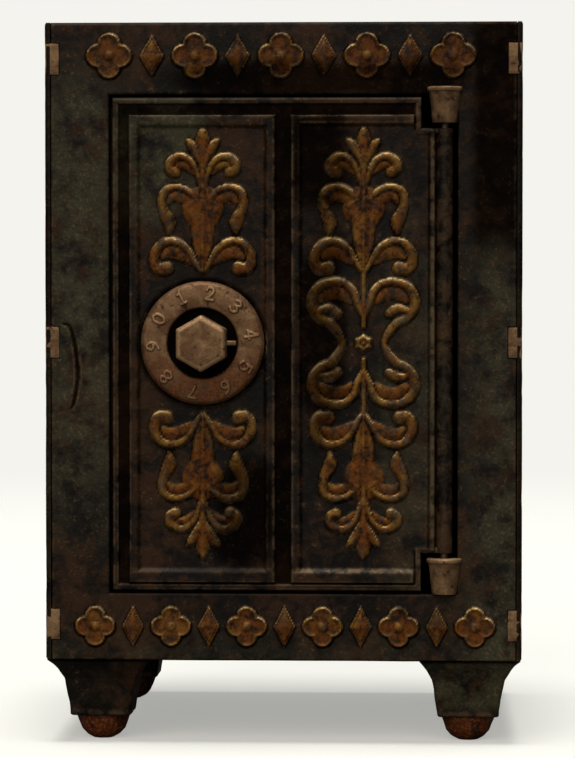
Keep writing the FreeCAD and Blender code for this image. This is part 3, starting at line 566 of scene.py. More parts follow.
def steel(name, color, dark, roughness):
    """Dull browned steel for pins, screws and the lock's inner pieces."""
    g = Graph(name)
    mid, fine = g.noise(420, 5, 0.6, 0.3), g.noise(2600, 3, 0.5)
    paint = g.mix(dark, color, g.ramp(mid, 0.38, 0.60))
    paint = g.mix(paint, STEEL_RUST, g.ramp(g.noise(260, 6, 0.7), 0.56, 0.72))
    rough = g.ramp(fine, 0.35, 0.65, (roughness - 0.08, roughness + 0.12))
    skin = g.bump(fine, 0.3, 0.00004)
    return g.finish(base_color=paint, roughness=rough, metallic=0.85, normal=skin)


case_iron = iron("worn_japan")
door_iron = iron("worn_japan_and_gilt")
legs_iron = iron("japan_and_rust", wear=0.9)
dial_iron = iron("rubbed_iron")


# ---- Pieces ----
def door_depth(u, v):
    """Distance inside the door's outline. The barrel's side counts as open."""
    main = in_box(u, v, DOOR_LEFT, DOOR_RIGHT, DOOR_BOTTOM, DOOR_TOP)
    return np.maximum(main, in_box(u, v, DOOR_LEFT, HINGE_X + 9, BARREL_BOTTOM, BARREL_TOP))


def panel_depths(u, v, left, right):
    """Distances inside a panel's outer edge and inside its sunk field."""
    near = DOOR_RIGHT - RIM_WIDTH
    low, high = BARREL_BOTTOM + 0.2, BARREL_TOP - 0.2
    wide = right > near
    outer = in_box(u, v, left, min(right, near), PANEL_BOTTOM, PANEL_TOP)
    inner_right = near + 2 if wide else right - PANEL_FRAME
    inner = in_box(u, v, left + PANEL_FRAME, inner_right, PANEL_BOTTOM + PANEL_SILL, PANEL_TOP - PANEL_HEAD)
    if wide:
        outer = np.maximum(outer, in_box(u, v, left, right, low, high))
        inner = np.maximum(inner, in_box(u, v, left + PANEL_FRAME, right - RIM_WIDTH, low - 1, high + 1))
    return outer, inner


def scrollwork(us, vs):
    """The relief of all four sprays and the rosette, above the panels' fields."""
    relief = np.zeros((len(us), len(vs)))
    U, V = np.meshgrid(us, vs, indexing="ij")

    def thick(radius):
        return np.minimum(SPRAY_PROUD, 0.34 + 0.42 * radius)

    def thin(radius):
        return np.minimum(0.42, 0.14 + 0.30 * radius)

    for axis in (-17.0, 17.0):
        extra = axis > 0
        middle = MIDDLE_STROKES + (RIGHT_MIDDLE_STROKES if extra else [])
        sides = SIDE_STROKES + (RIGHT_SIDE_STROKES if extra else [])
        leaves = LEAF_STROKES + (RIGHT_LEAF_STROKES if extra else [])
        for up in (1, -1):
            def placed(stroke, across=1):
                return [(axis + across * x, DIAL_Z + up * z, 1.14 * r) for x, z, r in smooth_stroke(stroke)]

            flower = stroke_relief(us, vs, placed(FLOWER), lambda r: SPRAY_PROUD + 0 * r)
            width = np.interp(up * (V - DIAL_Z), [15.2, 21.0, 26.3, 28.9, 31.0], [0.4, 1.8, 2.4, 3.9, 0.5])
            flutes = 0.86 + 0.14 * np.cos((U - axis) / width * math.pi * 2.2)
            relief = np.maximum(relief, flower * flutes)
            for stroke in middle:
                stroke_relief(us, vs, placed(stroke), thick, relief)
            for across in (1, -1):
                for stroke in sides:
                    stroke_relief(us, vs, placed(stroke, across), thick, relief)
                for stroke in leaves:
                    stroke_relief(us, vs, placed(stroke, across), thin, relief)
    rosette = np.hypot(U - 17.0, V - DIAL_Z)
    angle = np.arctan2(V - DIAL_Z, U - 17.0)
    petals = 0.78 * step(1.9, 1.3, rosette * (1 + 0.10 * np.cos(angle * 6))) - 0.22 * step(0.9, 0.6, rosette)
    return np.maximum(relief, petals + 0.3 * step(0.5, 0.1, rosette))


def spot(u, v, x, y, width, height, swirl):
    """A soft, ragged patch."""
    return step(1.15, 0.55, np.hypot((u - x) / width, (v - y) / height) + 0.22 * swirl)


def make_door():
    """The door with its panels, scrollwork and barrel, and a way through for the lock."""
    fine_u = [DOOR_LEFT + RIM_WIDTH]
    for left, right in (LEFT_PANEL, RIGHT_PANEL):
        fine_u += [left, right, left + PANEL_FRAME, right - PANEL_FRAME]
    fine_v = [PANEL_BOTTOM, PANEL_BOTTOM + PANEL_SILL, PANEL_TOP, PANEL_TOP - PANEL_HEAD]
    fine_v += [DOOR_BOTTOM + RIM_WIDTH, DOOR_TOP - RIM_WIDTH]
    sides, ends = (DIAL_X - PASSAGE, DIAL_X + PASSAGE), (DIAL_Z - PASSAGE, DIAL_Z + PASSAGE)
    us = lines([DOOR_LEFT, *sides, DOOR_RIGHT, HINGE_X], FINE, fine_u)
    vs = lines([DOOR_BOTTOM, BARREL_BOTTOM, *ends, BARREL_TOP, DOOR_TOP], FINE, fine_v)
    U, V = np.meshgrid(us, vs, indexing="ij")
    depth = door_depth(U, V)
    h = RIM_PROUD * (1 - step(1.05, 1.5, depth)) - 0.22 * np.clip(1 - depth / 0.35, 0, 1) ** 2
    field, top_highlight = np.zeros_like(U), np.zeros_like(U)
    for left, right in (LEFT_PANEL, RIGHT_PANEL):
        outer, inner = panel_depths(U, V, left, right)
        band = (BAND_PROUD - (BAND_PROUD - FIELD_PROUD) * step(-0.45, 0.55, inner)) * step(-0.05, 0.42, outer)
        h = np.maximum(h, band)
        field = np.maximum(field, step(0.3, 0.9, inner))
        # Painted highlight along the upward-facing top edge of each panel's sill, stronger on the right
        # panel.
        sill = step(0.8, 0.3, np.abs(V - PANEL_BOTTOM - PANEL_SILL))
        sill = sill * (U > left + 0.4) * (U < min(right - 0.4, DOOR_RIGHT - RIM_WIDTH))
        top_highlight = np.maximum(top_highlight, sill * (1.0 if left > 0 else 0.22))
    scrolls = scrollwork(us, vs) * field
    h = h + scrolls + cast_skin(U, V, 11) * (0.5 + 0.5 * step(0.0, 1.0, depth))
    r = np.hypot(U - DIAL_X, V - DIAL_Z)
    under_dial = step(RING_OUTER + 0.3, RING_OUTER - 0.3, r)
    h = np.where(under_dial > 0, np.minimum(h, FIELD_PROUD - 0.08), h)
    blurred = blur(h, 6)
    # Painted shade: darker in the relief's hollows, with a painted shadow in a band round the dial ring.
    shade = np.maximum(step(0.02, 0.14, blurred - h), step(RING_OUTER + 1.6, RING_OUTER, r))
    # The channel inside the door's rim is painted darker as shade.
    channel = step(0.30, 0.10, h) * step(0.6, 1.4, depth)
    swirl = bump_noise(U, V, 7, 14)
    # Soft patches painted near black.
    near_black_patches = np.maximum(spot(U, V, 7, 124, 9, 13, swirl), spot(U, V, -8, 48, 9, 15, swirl))
    near_black_patches = np.maximum(near_black_patches, spot(U, V, 8, 90, 6, 26, swirl))
    shade = np.maximum.reduce([shade, 0.85 * channel, 0.8 * near_black_patches])
    # Painted highlight on the scrolls' upward-facing and steep slopes (lit), and painted shade on their
    # downward-facing slopes (dark).
    facing = -np.gradient(scrolls, vs, axis=1)
    slope = np.hypot(np.gradient(scrolls, us, axis=0), facing)
    lit, dark = step(0.12, 0.8, facing), step(0.2, 0.9, -facing)
    lit = np.maximum(lit, 0.5 * step(0.35, 0.9, slope))
    shade = np.maximum(shade, 0.9 * dark)
    bloom = 0.9 * spot(U, V, -27, 127, 12, 16, swirl) + 0.5 * spot(U, V, 27, 70, 9, 42, swirl)
    wing = (HINGE_X, BARREL_BOTTOM, BARREL_TOP)  # the part that reaches the barrel

    def inside(u, v):
        leaf = in_box(u, v, DOOR_LEFT, DOOR_RIGHT, DOOR_BOTTOM, DOOR_TOP) > 0
        return (leaf | (in_box(u, v, DOOR_LEFT, *wing) > 0)) & (in_box(u, v, *sides, *ends) < 0)

    shell = Shell()
    relief_sheet(
        shell, us, vs, h, inside, DOOR_BACK - FRONT, place_front,
        [(DOOR_LEFT, sides[0], DOOR_BOTTOM, DOOR_TOP), (sides[1], DOOR_RIGHT, DOOR_BOTTOM, DOOR_TOP),
         (*sides, DOOR_BOTTOM, ends[0]), (*sides, ends[1], DOOR_TOP), (DOOR_RIGHT, *wing)],
        gilt=step(0.06, 0.22, scrolls), hollow=shade, bloom=np.clip(bloom, 0, 1),
        edge=np.maximum.reduce([0.55 * step(0.015, 0.10, h - blurred), top_highlight, lit]),
    )
    barrel = rounded_profile(BARREL_RADIUS, BARREL_BOTTOM, BARREL_TOP, 0.25, BARREL_BORE)
    turned(shell, barrel, (HINGE_X, HINGE_Y, 0), "z", 48, 0.05, 21, edge=0.15)
    near, far = DOOR_BACK - 0.4, DOOR_BACK + BOSS_DEPTH
    boss = [(PASSAGE, near), *rounded_profile(BOSS_RADIUS, near, far, 0.4)[1:-1], (PASSAGE, far)]
    turned(shell, boss, (DIAL_X, 0, DIAL_Z), "y", 72, 0.04, 22, capped=False)
    return shell.make("door_casting", door_iron, "door", "door")


def make_dial_ring():
    """The numbered ring as a relief over its angle and radius."""
    count, rows = 720, 56
    angles = turns(count)
    radii = np.concatenate([
        RING_INNER + np.array([0, 0.1, 0.22]), np.linspace(RING_INNER + 0.34, RING_OUTER - 0.34, rows),
        RING_OUTER - np.array([0.22, 0.1, 0]),
    ])
    A, R = np.meshgrid(angles, radii, indexing="ij")
    span = (R - RING_INNER) / (RING_OUTER - RING_INNER)
    crown = 1.42 + 0.42 * np.sin(math.pi * np.clip(0.15 + 0.85 * span, 0, 1)) ** 0.8
    crown -= 0.5 * np.clip(1 - (R - RING_INNER) / 0.4, 0, 1) ** 2
    crown -= 0.9 * np.clip(1 - (RING_OUTER - R) / 0.9, 0, 1) ** 2
    digits = np.zeros_like(R)
    height, half = 2.9, 0.27
    for digit, degrees in NUMERAL_ANGLES.items():
        tilt = math.radians(degrees)
        turn = (A - tilt + math.pi) % (2 * math.pi) - math.pi
        near = np.abs(turn) < 0.22
        x = -R * np.sin(turn)
        y = R * np.cos(turn) - 10.5
        best = np.zeros_like(R)
        for stroke in NUMERALS[digit]:
            path = smooth_stroke(stroke, 4)
            for (x0, y0), (x1, y1) in zip(path, path[1:]):
                ax, ay, bx, by = (k * height for k in (x0, y0, x1, y1))
                length2 = (bx - ax) ** 2 + (by - ay) ** 2 + 1e-9
                t = np.clip(((x - ax) * (bx - ax) + (y - ay) * (by - ay)) / length2, 0, 1)
                gap = np.hypot(x - ax - t * (bx - ax), y - ay - t * (by - ay))
                best = np.maximum(best, step(half + 0.14, half - 0.10, gap) * near)
        digits = np.maximum(digits, best)
    X, Z = R * np.cos(A), R * np.sin(A)
    h = crown + 0.34 * digits + 0.7 * cast_skin(X + 40, Z, 31)
    h = np.minimum(h, RING_PROUD - FIELD_PROUD + 0.28)
    ring_blur = blur(np.concatenate([h[-8:], h, h[:8]]), 5)[8:-8]
    points = np.stack([DIAL_X + X, FIELD - h, DIAL_Z + Z], axis=-1)
    n = len(radii)
    faces = []
    for i in range(count):
        p, q = i * n, ((i + 1) % count) * n
        faces += [(p + k, p + k + 1, q + k + 1, q + k) for k in range(n - 1)]
    base = count * n
    back = [
        np.stack([DIAL_X + r * np.cos(angles), FIELD + 0 * angles, DIAL_Z + r * np.sin(angles)], -1)
        for r in (RING_INNER, RING_OUTER)
    ]
    for i in range(count):
        j = (i + 1) % count
        faces.append((base + i, i * n, j * n, base + j))
        faces.append((i * n + n - 1, base + count + i, base + count + j, j * n + n - 1))
        faces.append((base + i, base + j, base + count + j, base + count + i))
    # The ring's lower part gets rust and painted shade.
    low_side = 0.55 * step(3.0, -11.0, Z) + 0.2 * step(0.5, -1.5, bump_noise(X + 60, Z, 4, 33))
    shell = Shell()
    edge_brightening = np.maximum(0.5 * digits, 0.5 * step(0.02, 0.10, h - ring_blur))
    # Painted shade in the ring's hollows and on its lower part.
    sunk = np.maximum(step(0.02, 0.10, ring_blur - h), 0.35 * low_side)
    rust_and_low_shade = 0.85 * low_side * (1 - 0.5 * digits)
    # The ring's walls and back are painted dark as shade, the inner wall darkest.
    shell.add(
        np.concatenate([points.reshape(-1, 3), *back]), [f[::-1] for f in faces],
        bare=1.0,
        edge=np.concatenate([edge_brightening.ravel(), np.zeros(2 * count)]),
        hollow=np.concatenate([sunk.ravel(), np.ones(count), np.full(count, 0.7)]),
        rust=np.concatenate([rust_and_low_shade.ravel(), np.zeros(2 * count)]),
    )
    for degrees in (90, 270):
        x = DIAL_X + STUD_CIRCLE * math.cos(math.radians(degrees))
        z = DIAL_Z + STUD_CIRCLE * math.sin(math.radians(degrees))
        shank = rounded_profile(1.1, FIELD - 0.3, DOOR_BACK + 0.4, 0.1)
        head = rounded_profile(1.87, DOOR_BACK, DOOR_BACK + 0.8, 0.25)
        turned(shell, shank, (x, 0, z), "y", 28, bare=0.6)
        turned(shell, head, (x, 0, z), "y", 32, 0.03, bare=0.6)
    return shell.make("dial_numbered_ring", dial_iron, "door", "dial_ring", 60)


def make_knob():
    """The hexagonal knob with worn corners, and its pointer."""
    count = 180
    angles = turns(count)
    sides = np.array([math.radians(60 * k) for k in range(6)])
    facing = np.clip(np.cos(angles[:, None] - sides[None, :]), 0, 1) ** 60
    reach = KNOB_FLATS / 2 * facing.sum(1) ** (-1 / 60)
    tip, foot = FRONT - KNOB_PROUD, FIELD - 0.2
    levels = [(0.001, 0.0), (0.25, 0.0), (0.5, 0.01), (0.7, 0.02), (0.80, 0.05), (0.87, 0.10), (0.92, 0.24),
              (0.96, 0.46), (0.988, 0.74)]
    levels += [(1.0, drop) for drop in (1.05, 2.4, 3.6, 4.8, 6.2, foot - tip)]
    points, edge = [], []
    for scale, drop in levels:
        x, z = reach * scale * np.cos(angles), reach * scale * np.sin(angles)
        y = tip + drop + 0 * angles + (0.5 * cast_skin(x + 90, z + drop * 3, 41) if drop < 6 else 0)
        y = np.maximum(y, tip)
        points.append(np.stack([DIAL_X + x, y, DIAL_Z + z], axis=-1))
        edge.append(np.full(count, 0.9 if 0.85 < scale < 0.99 else 0.0))
    faces = ring_faces(len(levels), count, flipped=True)
    faces.append(tuple((len(levels) - 1) * count + k for k in range(count)))
    faces.append(tuple(range(count))[::-1])
    shell = Shell()
    shell.add(np.concatenate(points), faces, bare=1.0, edge=np.concatenate(edge))
    start, end = (DIAL_X + 3.5, FRONT - RING_PROUD + 0.1, DIAL_Z - 0.52), (DIAL_X + 7.2, foot, DIAL_Z + 0.52)
    rounded_box(shell, start, end, 0.22, bare=1.0, edge=0.4)
    return shell.make("dial_hex_knob", dial_iron, "dial", "dial_knob", 55)


def frieze(U, V, left, right, level, count):
    """A row of quatrefoils with lozenges between them."""
    relief = np.zeros_like(U)
    pitch = (right - left) / count
    for k in range(count):
        x, y = U - left - pitch * (k + 0.5), V - level
        if k % 2:
            width, height = pitch * 0.6, 10.4 * 0.9
            inside = (1 - np.abs(x) / (width / 2) - np.abs(y) / (height / 2)) * width / 2 * 0.87
            shape = 0.50 * step(0.0, 0.30, inside) + 0.30 * np.clip((inside - 0.35) / 1.3, 0, 1)
            shape -= 0.22 * step(0.30, 0.50, inside) * step(0.75, 0.55, inside)
        else:
            lobe = min(pitch * 1.05, 10.4) * 0.25
            centres = [(lobe * a, lobe * b) for a, b in ((1, 0), (-1, 0), (0, 1), (0, -1))]
            inside = np.maximum.reduce([lobe * 1.08 - np.hypot(x - a, y - b) for a, b in centres])
            shape = 0.62 * step(0.0, 0.34, inside) - 0.26 * step(0.45, 0.95, inside)
            r = np.hypot(x, y)
            shape = np.maximum(shape, 0.78 * np.clip(1 - (r / 1.25) ** 2, 0, 1) ** 0.5)
        relief = np.maximum(relief, shape)
    return relief


def plate_edges(U, V):
    """The worn outer edge of the front and back plates."""
    outer = in_box(U, V, -PLATE_EDGE, PLATE_EDGE, CASE_BOTTOM, CASE_TOP)
    return -0.25 * np.clip(1 - outer / 0.45, 0, 1) ** 2


def in_notch(u, v):
    """Whether a place is in a notch for a side plate's tenon."""
    hit = np.zeros(u.shape, bool)
    reach = TENON_REACH + SEAM + FLARE
    for level in TENON_LEVELS:
        hit |= (np.abs(u) > INNER - SEAM) & (np.abs(v - level) < reach)
    return hit


def tenon_marks():
    """Heights of the notches' ends."""
    reach = TENON_REACH + SEAM + FLARE
    return [level + side * reach for level in TENON_LEVELS for side in (-1, 1)]


def make_front_plate():
    """The front plate with its friezes, hinge lugs, stop ledge and keeper."""
    left, right, bottom, top = OPENING
    marks_u = [-PLATE_EDGE, -(INNER - SEAM), left, right, INNER - SEAM, PLATE_EDGE]
    marks_v = sorted([CASE_BOTTOM, bottom, top, CASE_TOP] + tenon_marks())
    us = lines(marks_u, 0.30, [left - 0.2, right + 0.2])
    vs = lines(marks_v, 0.30, [bottom - 0.2, top + 0.2])
    U, V = np.meshgrid(us, vs, indexing="ij")
    hole = -in_box(U, V, *OPENING)
    h = plate_edges(U, V) - 0.24 * np.clip(1 - hole / 0.5, 0, 1) ** 2
    ornament = sum(frieze(U, V, *row) for row in FRIEZES)
    flaw = [(-46.8, 89.4, 0.3), (-45.3, 88.8, 0.5), (-44.5, 86.2, 0.55), (-44.0, 83.6, 0.55),
            (-43.6, 78.3, 0.55), (-44.4, 73.0, 0.5), (-45.1, 71.3, 0.25)]
    groove = stroke_relief(us, vs, smooth_stroke(flaw), lambda r: 0.75 * r)
    h = h + ornament - groove + 1.25 * cast_skin(U, V, 51)
    swirl = bump_noise(U, V, 14, 55)
    bloom = 0.95 * np.exp(-((U + 43.5) / 8.5) ** 2) * step(40, 62, V + 8 * swirl) * step(150, 132, V)
    bloom += 0.80 * np.exp(-((U - 45.5) / 6.5) ** 2) * step(128, 92, V + 9 * swirl)
    bloom += 0.30 * step(30, 18, V)
    # Soft patches painted near black, at the right stile's top and above the door.
    near_black_patches = np.maximum(step(38, 42, U) * step(98, 116, V + 6 * swirl), spot(U, V, 8, 141, 36, 5, swirl))
    # Painted highlight on the friezes' upward-facing slopes (lit), and painted shade on their downward-facing
    # slopes (dark).
    facing = -np.gradient(ornament, vs, axis=1)
    lit, dark = step(0.15, 0.9, facing), step(0.2, 1.0, -facing)
    blurred = blur(h, 6)
    # Painted shade in hollows and along the edge of the door's opening, together with the near-black patches
    # and the friezes' painted shade.
    sunk = [step(0.02, 0.13, blurred - h), step(0.25, 0.0, hole), 0.8 * near_black_patches, 0.85 * dark]
    shell = Shell()
    relief_sheet(
        shell, us, vs, h,
        lambda u, v: (in_box(u, v, *OPENING) < 0) & ~in_notch(u, v),
        WALL, place_front,
        [(-PLATE_EDGE + 1.9, left, CASE_BOTTOM, CASE_TOP), (right, PLATE_EDGE - 1.9, CASE_BOTTOM, CASE_TOP),
         (left, right, CASE_BOTTOM, bottom), (left, right, top, CASE_TOP)],
        gilt=step(0.12, 0.35, ornament) * np.where(V > 100, 0.8, 1.0), bloom=np.clip(bloom, 0, 1),
        hollow=np.maximum.reduce(sunk),
        edge=np.maximum(0.5 * step(0.015, 0.10, h - blurred), lit),
    )
    for low, high in LUG_SPANS:
        neck = high - 0.9
        taper, rise, r = LUG_NECK - LUG_RADIUS, neck - low, COLLAR_RADIUS
        profile = [(0.01, low)] + [(LUG_RADIUS - x, low + z) for x, z in ((0.2, 0), (0.05, 0.06), (0, 0.2))]
        profile += [(LUG_RADIUS + taper * t, low + rise * t) for t in np.linspace(0.08, 0.98, 12)]
        profile += [(r - 0.1, neck + 0.02), (r, neck + 0.15), (r, high - 0.25)]
        profile += [(r - 0.08, high - 0.08), (r - 0.25, high), (0.01, high)]
        # Painted highlight on the collar at each lug's top.
        top_highlight = np.repeat([0.85 if d > neck else 0.2 for _, d in profile], 56)
        bare = 0.9 if low < DIAL_Z else 0.6
        turned(shell, profile, (HINGE_X, HINGE_Y, 0), "z", 56, 0.06, 61, bare=bare, edge=top_highlight)
        start, end = (HINGE_X - LUG_RADIUS, HINGE_Y + 0.05, low), (right + 1.0, FRONT + WALL, high)
        rounded_box(shell, start, end, 0.2, bare=0.3)
    # The stop ledges and the keeper behind the door are painted a little darker as shade.
    seat = DOOR_BACK + 0.3
    for low, high in (
        ((left - 2, seat, bottom - 2), (left + 2.7, seat + 2, top + 2)),
        ((left - 1, seat, bottom - 2), (DOOR_RIGHT, seat + 2, bottom + 2.7)),
        ((left - 1, seat, top - 2.7), (DOOR_RIGHT, seat + 2, top + 2)),
        ((left - 1.5, seat + 0.3, DIAL_Z - 2), (KEEPER_END, DOOR_BACK + 3.4, DIAL_Z + 2)),
    ):
        rounded_box(shell, low, high, 0.25, hollow=0.3)
    return shell.make("front_casting", case_iron, "case", "front_plate")


def wall_panel(U, V, left, right, bottom, top, border, seed):
    """A plain sunk panel with a moulded edge, on a casting."""
    inside = in_box(U, V, left + border, right - border, bottom + border, top - border)
    h = -0.8 * step(-0.2, 0.7, inside) + 0.28 * step(1.6, 2.1, inside) * step(3.3, 2.8, inside)
    return h + 1.3 * cast_skin(U, V, seed)


def make_back_plate():
    """The back plate with a plain sunk panel."""
    marks_u = [-PLATE_EDGE, -(INNER - SEAM), INNER - SEAM, PLATE_EDGE]
    marks_v = sorted([CASE_BOTTOM, CASE_TOP] + tenon_marks())
    side, low, high = PLATE_EDGE - BACK_BORDER, CASE_BOTTOM + BACK_BORDER, CASE_TOP - BACK_BORDER
    us = lines(marks_u, COARSE, [-side, side, -side + 2, side - 2])
    vs = lines(marks_v, COARSE, [low, high, low + 2, high - 2])
    U, V = np.meshgrid(us, vs, indexing="ij")
    h = wall_panel(U, V, -PLATE_EDGE, PLATE_EDGE, CASE_BOTTOM, CASE_TOP, BACK_BORDER, 71) + plate_edges(U, V)
    h = np.minimum(h, 0.0)
    bloom = np.clip(0.35 + 0.5 * bump_noise(U, V, 18, 72), 0, 1)
    shell = Shell()
    relief_sheet(shell, us, vs, h, lambda u, v: ~in_notch(u, v), WALL, place_back,
                 [(-PLATE_EDGE + 1.9, PLATE_EDGE - 1.9, CASE_BOTTOM, CASE_TOP)], bloom=bloom)
    return shell.make("back_casting", case_iron, "case", "back_plate")


def make_side_plate(name, node, place, hand, seed):
    """A side plate: its lip and sunk panel outside, its wall inside, a ledge and six tenons."""
    depth = (BACK - FRONT) / 2
    offsets = (SIDE_BORDER, SIDE_BORDER + 2)
    fine_u = [x for d in (*offsets, 0.3) for x in (-depth + d, depth - d)]
    fine_v = [z for d in offsets for z in (CASE_BOTTOM + d, CASE_TOP - d)]
    us = lines([-depth, depth], COARSE, fine_u)
    vs = lines([CASE_BOTTOM, CASE_TOP], COARSE, fine_v)
    U, V = np.meshgrid(us, vs, indexing="ij")
    rim = in_box(U, V, -depth, depth, CASE_BOTTOM, CASE_TOP)
    h = wall_panel(U, V, -depth, depth, CASE_BOTTOM, CASE_TOP, SIDE_BORDER, seed)
    h = np.minimum(h - 0.3 * np.clip(1 - rim / 0.5, 0, 1) ** 2, 0.0)
    bloom = np.clip(0.35 + 0.5 * bump_noise(U, V, 18, seed + 3), 0, 1)
    shell = Shell()
    relief_sheet(shell, us, vs, h, lambda u, v: u < 1e9, LIP, place,
                 [(-depth, depth, CASE_BOTTOM, CASE_TOP)], bloom=bloom)
    inner, lip = hand * INNER, hand * (HALF - LIP + 0.05)
    low_x, high_x = min(inner, lip), max(inner, lip)
    near, far = FRONT + WALL + SEAM, BACK - WALL - SEAM
    # The inner wall is painted a little darker as shade.
    rounded_box(shell, (low_x, near, CASE_BOTTOM), (high_x, far, CASE_TOP), 0.2, hollow=0.2)
    ledge, ledge_top = sorted((hand * (INNER - 2.0), hand * (INNER + 0.5))), CASE_TOP - WALL - SEAM
    rounded_box(shell, (ledge[0], near + 1, ledge_top - 2), (ledge[1], far - 1, ledge_top), 0.2)
    outer = hand * (HALF - 0.12)
    low_x, high_x = min(inner, outer), max(inner, outer)
    for k, level in enumerate(TENON_LEVELS):
        for end, back in ((FRONT + 0.02, FRONT + 4), (BACK - 0.1, BACK - 4)):
            def corner(place):
                y = (min if place.y < 0 else max)(end, back)
                reach = TENON_REACH + (FLARE if y == end else -0.1)
                return low_x if place.x < 0 else high_x, y, level + (reach if place.z > 0 else -reach)

            worn_block(shell, corner, 0.16, 7, 2, 0.09, seed + 5 + k, bare=0.8, edge=0.2)
    return shell.make(name, case_iron, "case", node)


def leg_inset(z):
    """(outer, inner) edges of a leg at a height, in from the case's outer face."""
    heights = [ANKLE_Z, 6.6, 8.8, 11.1, 13.4, 15.6, 17.0, LEG_HEIGHT]
    outer = np.interp(z, heights, [4.6, 4.5, 4.2, 3.85, 3.4, 2.2, 1.0, 0.05])
    inner = np.interp(z, heights, [17.8, 17.95, 18.3, 18.6, 19.15, 20.3, 21.3, 21.95])
    return outer, inner


def make_base():
    """The base plate with its four legs and rounded toes."""
    shell = Shell()
    edge = INNER - SEAM
    start, end = (-edge, FRONT + WALL + SEAM, LEG_HEIGHT - 0.3), (edge, BACK - WALL - SEAM, LEG_HEIGHT + WALL)
    rounded_box(shell, start, end, 0.25, 12, 0.05, 81)
    levels = np.concatenate([[ANKLE_Z], np.linspace(ANKLE_Z + 0.25, LEG_HEIGHT - 0.02, 40)])
    corner = np.linspace(0, math.pi / 2, 7)
    for sx, sy, seed in ((1, 1, 83), (-1, 1, 84), (1, -1, 85), (-1, -1, 86)):
        points, rings = [], []
        for z in levels:
            outer, inner = leg_inset(z)
            tuck = 0.25 if z == ANKLE_Z else 0.0
            low, high = outer + tuck, inner - tuck
            soft = 0.9
            ring = []
            for cx, cy, start in ((high, high, 0), (low, high, 1), (low, low, 2), (high, low, 3)):
                ox = cx - soft if cx == high else cx + soft
                oy = cy - soft if cy == high else cy + soft
                for a in corner + start * math.pi / 2:
                    ring.append((ox + soft * math.cos(a), oy + soft * math.sin(a)))
            dense = []
            for (x0, y0), (x1, y1) in zip(ring, ring[1:] + ring[:1]):
                n = 12 if math.hypot(x1 - x0, y1 - y0) > 3 else 1
                dense += [(x0 + (x1 - x0) * k / n, y0 + (y1 - y0) * k / n) for k in range(n)]
            rings.append(np.array(dense))
        n = len(rings[0])
        middle = ANKLE_OUTER + ANKLE_WIDTH / 2
        for ring, z in zip(rings, levels):
            push = ring - middle
            wave = 0.16 * bump_noise(ring[:, 0] + ring[:, 1] * 1.7, z + ring[:, 1], 2.6, seed)
            ring = ring + push / np.linalg.norm(push, axis=1, keepdims=True) * (wave - 0.12)[:, None]
            x = sx * (HALF - ring[:, 0])
            y = FRONT + ring[:, 1] if sy > 0 else BACK - ring[:, 1]
            points.append(np.stack([x, y, np.full(n, z)], axis=-1))
        faces = ring_faces(len(levels), n)
        faces += [tuple(range(n))[::-1], tuple((len(levels) - 1) * n + k for k in range(n))]
        if sx * sy > 0:
            faces = [f[::-1] for f in faces]
        z_all = np.repeat(levels, n)
        dusty, edge_brightening, bare = (1.0, 0.6, 0.45) if sx > 0 else (0.1, 0.0, 0.0)
        # The legs' tops, under the case, are painted darker as shade.
        shell.add(np.concatenate(points), faces, edge=0.35 * step(1.2, 0.2, np.abs(z_all - ANKLE_Z - 0.6)),
                  hollow=step(LEG_HEIGHT - 0.7, LEG_HEIGHT, z_all), bloom=dusty * step(ANKLE_Z, 9, z_all))
        t = np.linspace(0, 1, 12)
        curve = np.interp(t, [0, 0.25, 0.55, 1], [2.2, 3.55, 4.65, 5.7])
        height = np.interp(t, [0, 0.25, 0.55, 1], [0.0, 0.72, 1.95, 4.75])
        profile = [(0.01, 0.0)] + list(zip(curve, height)) + [(5.55, ANKLE_Z + 0.35), (0.01, ANKLE_Z + 0.5)]
        y = FRONT + middle if sy > 0 else BACK - middle
        toe = (sx * (HALF - middle), y, 0)
        turned(shell, profile, toe, "z", 64, 0.10, seed + 9, rust=0.95, edge=edge_brightening, bare=bare)
    return shell.make("base_and_legs", legs_iron, "case", "base_plate", 48)


make_door()
make_dial_ring()
make_knob()
make_front_plate()
make_back_plate()
make_side_plate("right_side_casting", "right_side_plate", place_right, 1, 91)
make_side_plate("left_side_casting", "left_side_plate", place_left, -1, 97)
make_base()

pin_steel = steel("browned_steel", (0.20, 0.15, 0.12), (0.08, 0.055, 0.04), 0.42)
lock_steel = steel("stamped_steel", (0.36, 0.33, 0.29), (0.17, 0.14, 0.11), 0.36)
for node, material in {
    "top_plate": case_iron, "tie_screws": pin_steel, "tie_nuts": pin_steel,
    "lower_hinge_pin": pin_steel, "upper_hinge_pin": pin_steel, "lock_spindle": pin_steel,
    "spindle_nut": pin_steel, "front_tumbler": lock_steel, "rear_tumbler": lock_steel,
    "tumbler_spacers": lock_steel, "drive_cam": lock_steel, "spring_washer": lock_steel,
}.items():
    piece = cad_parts[node]
    piece.data.materials.clear()
    piece.data.materials.append(material)


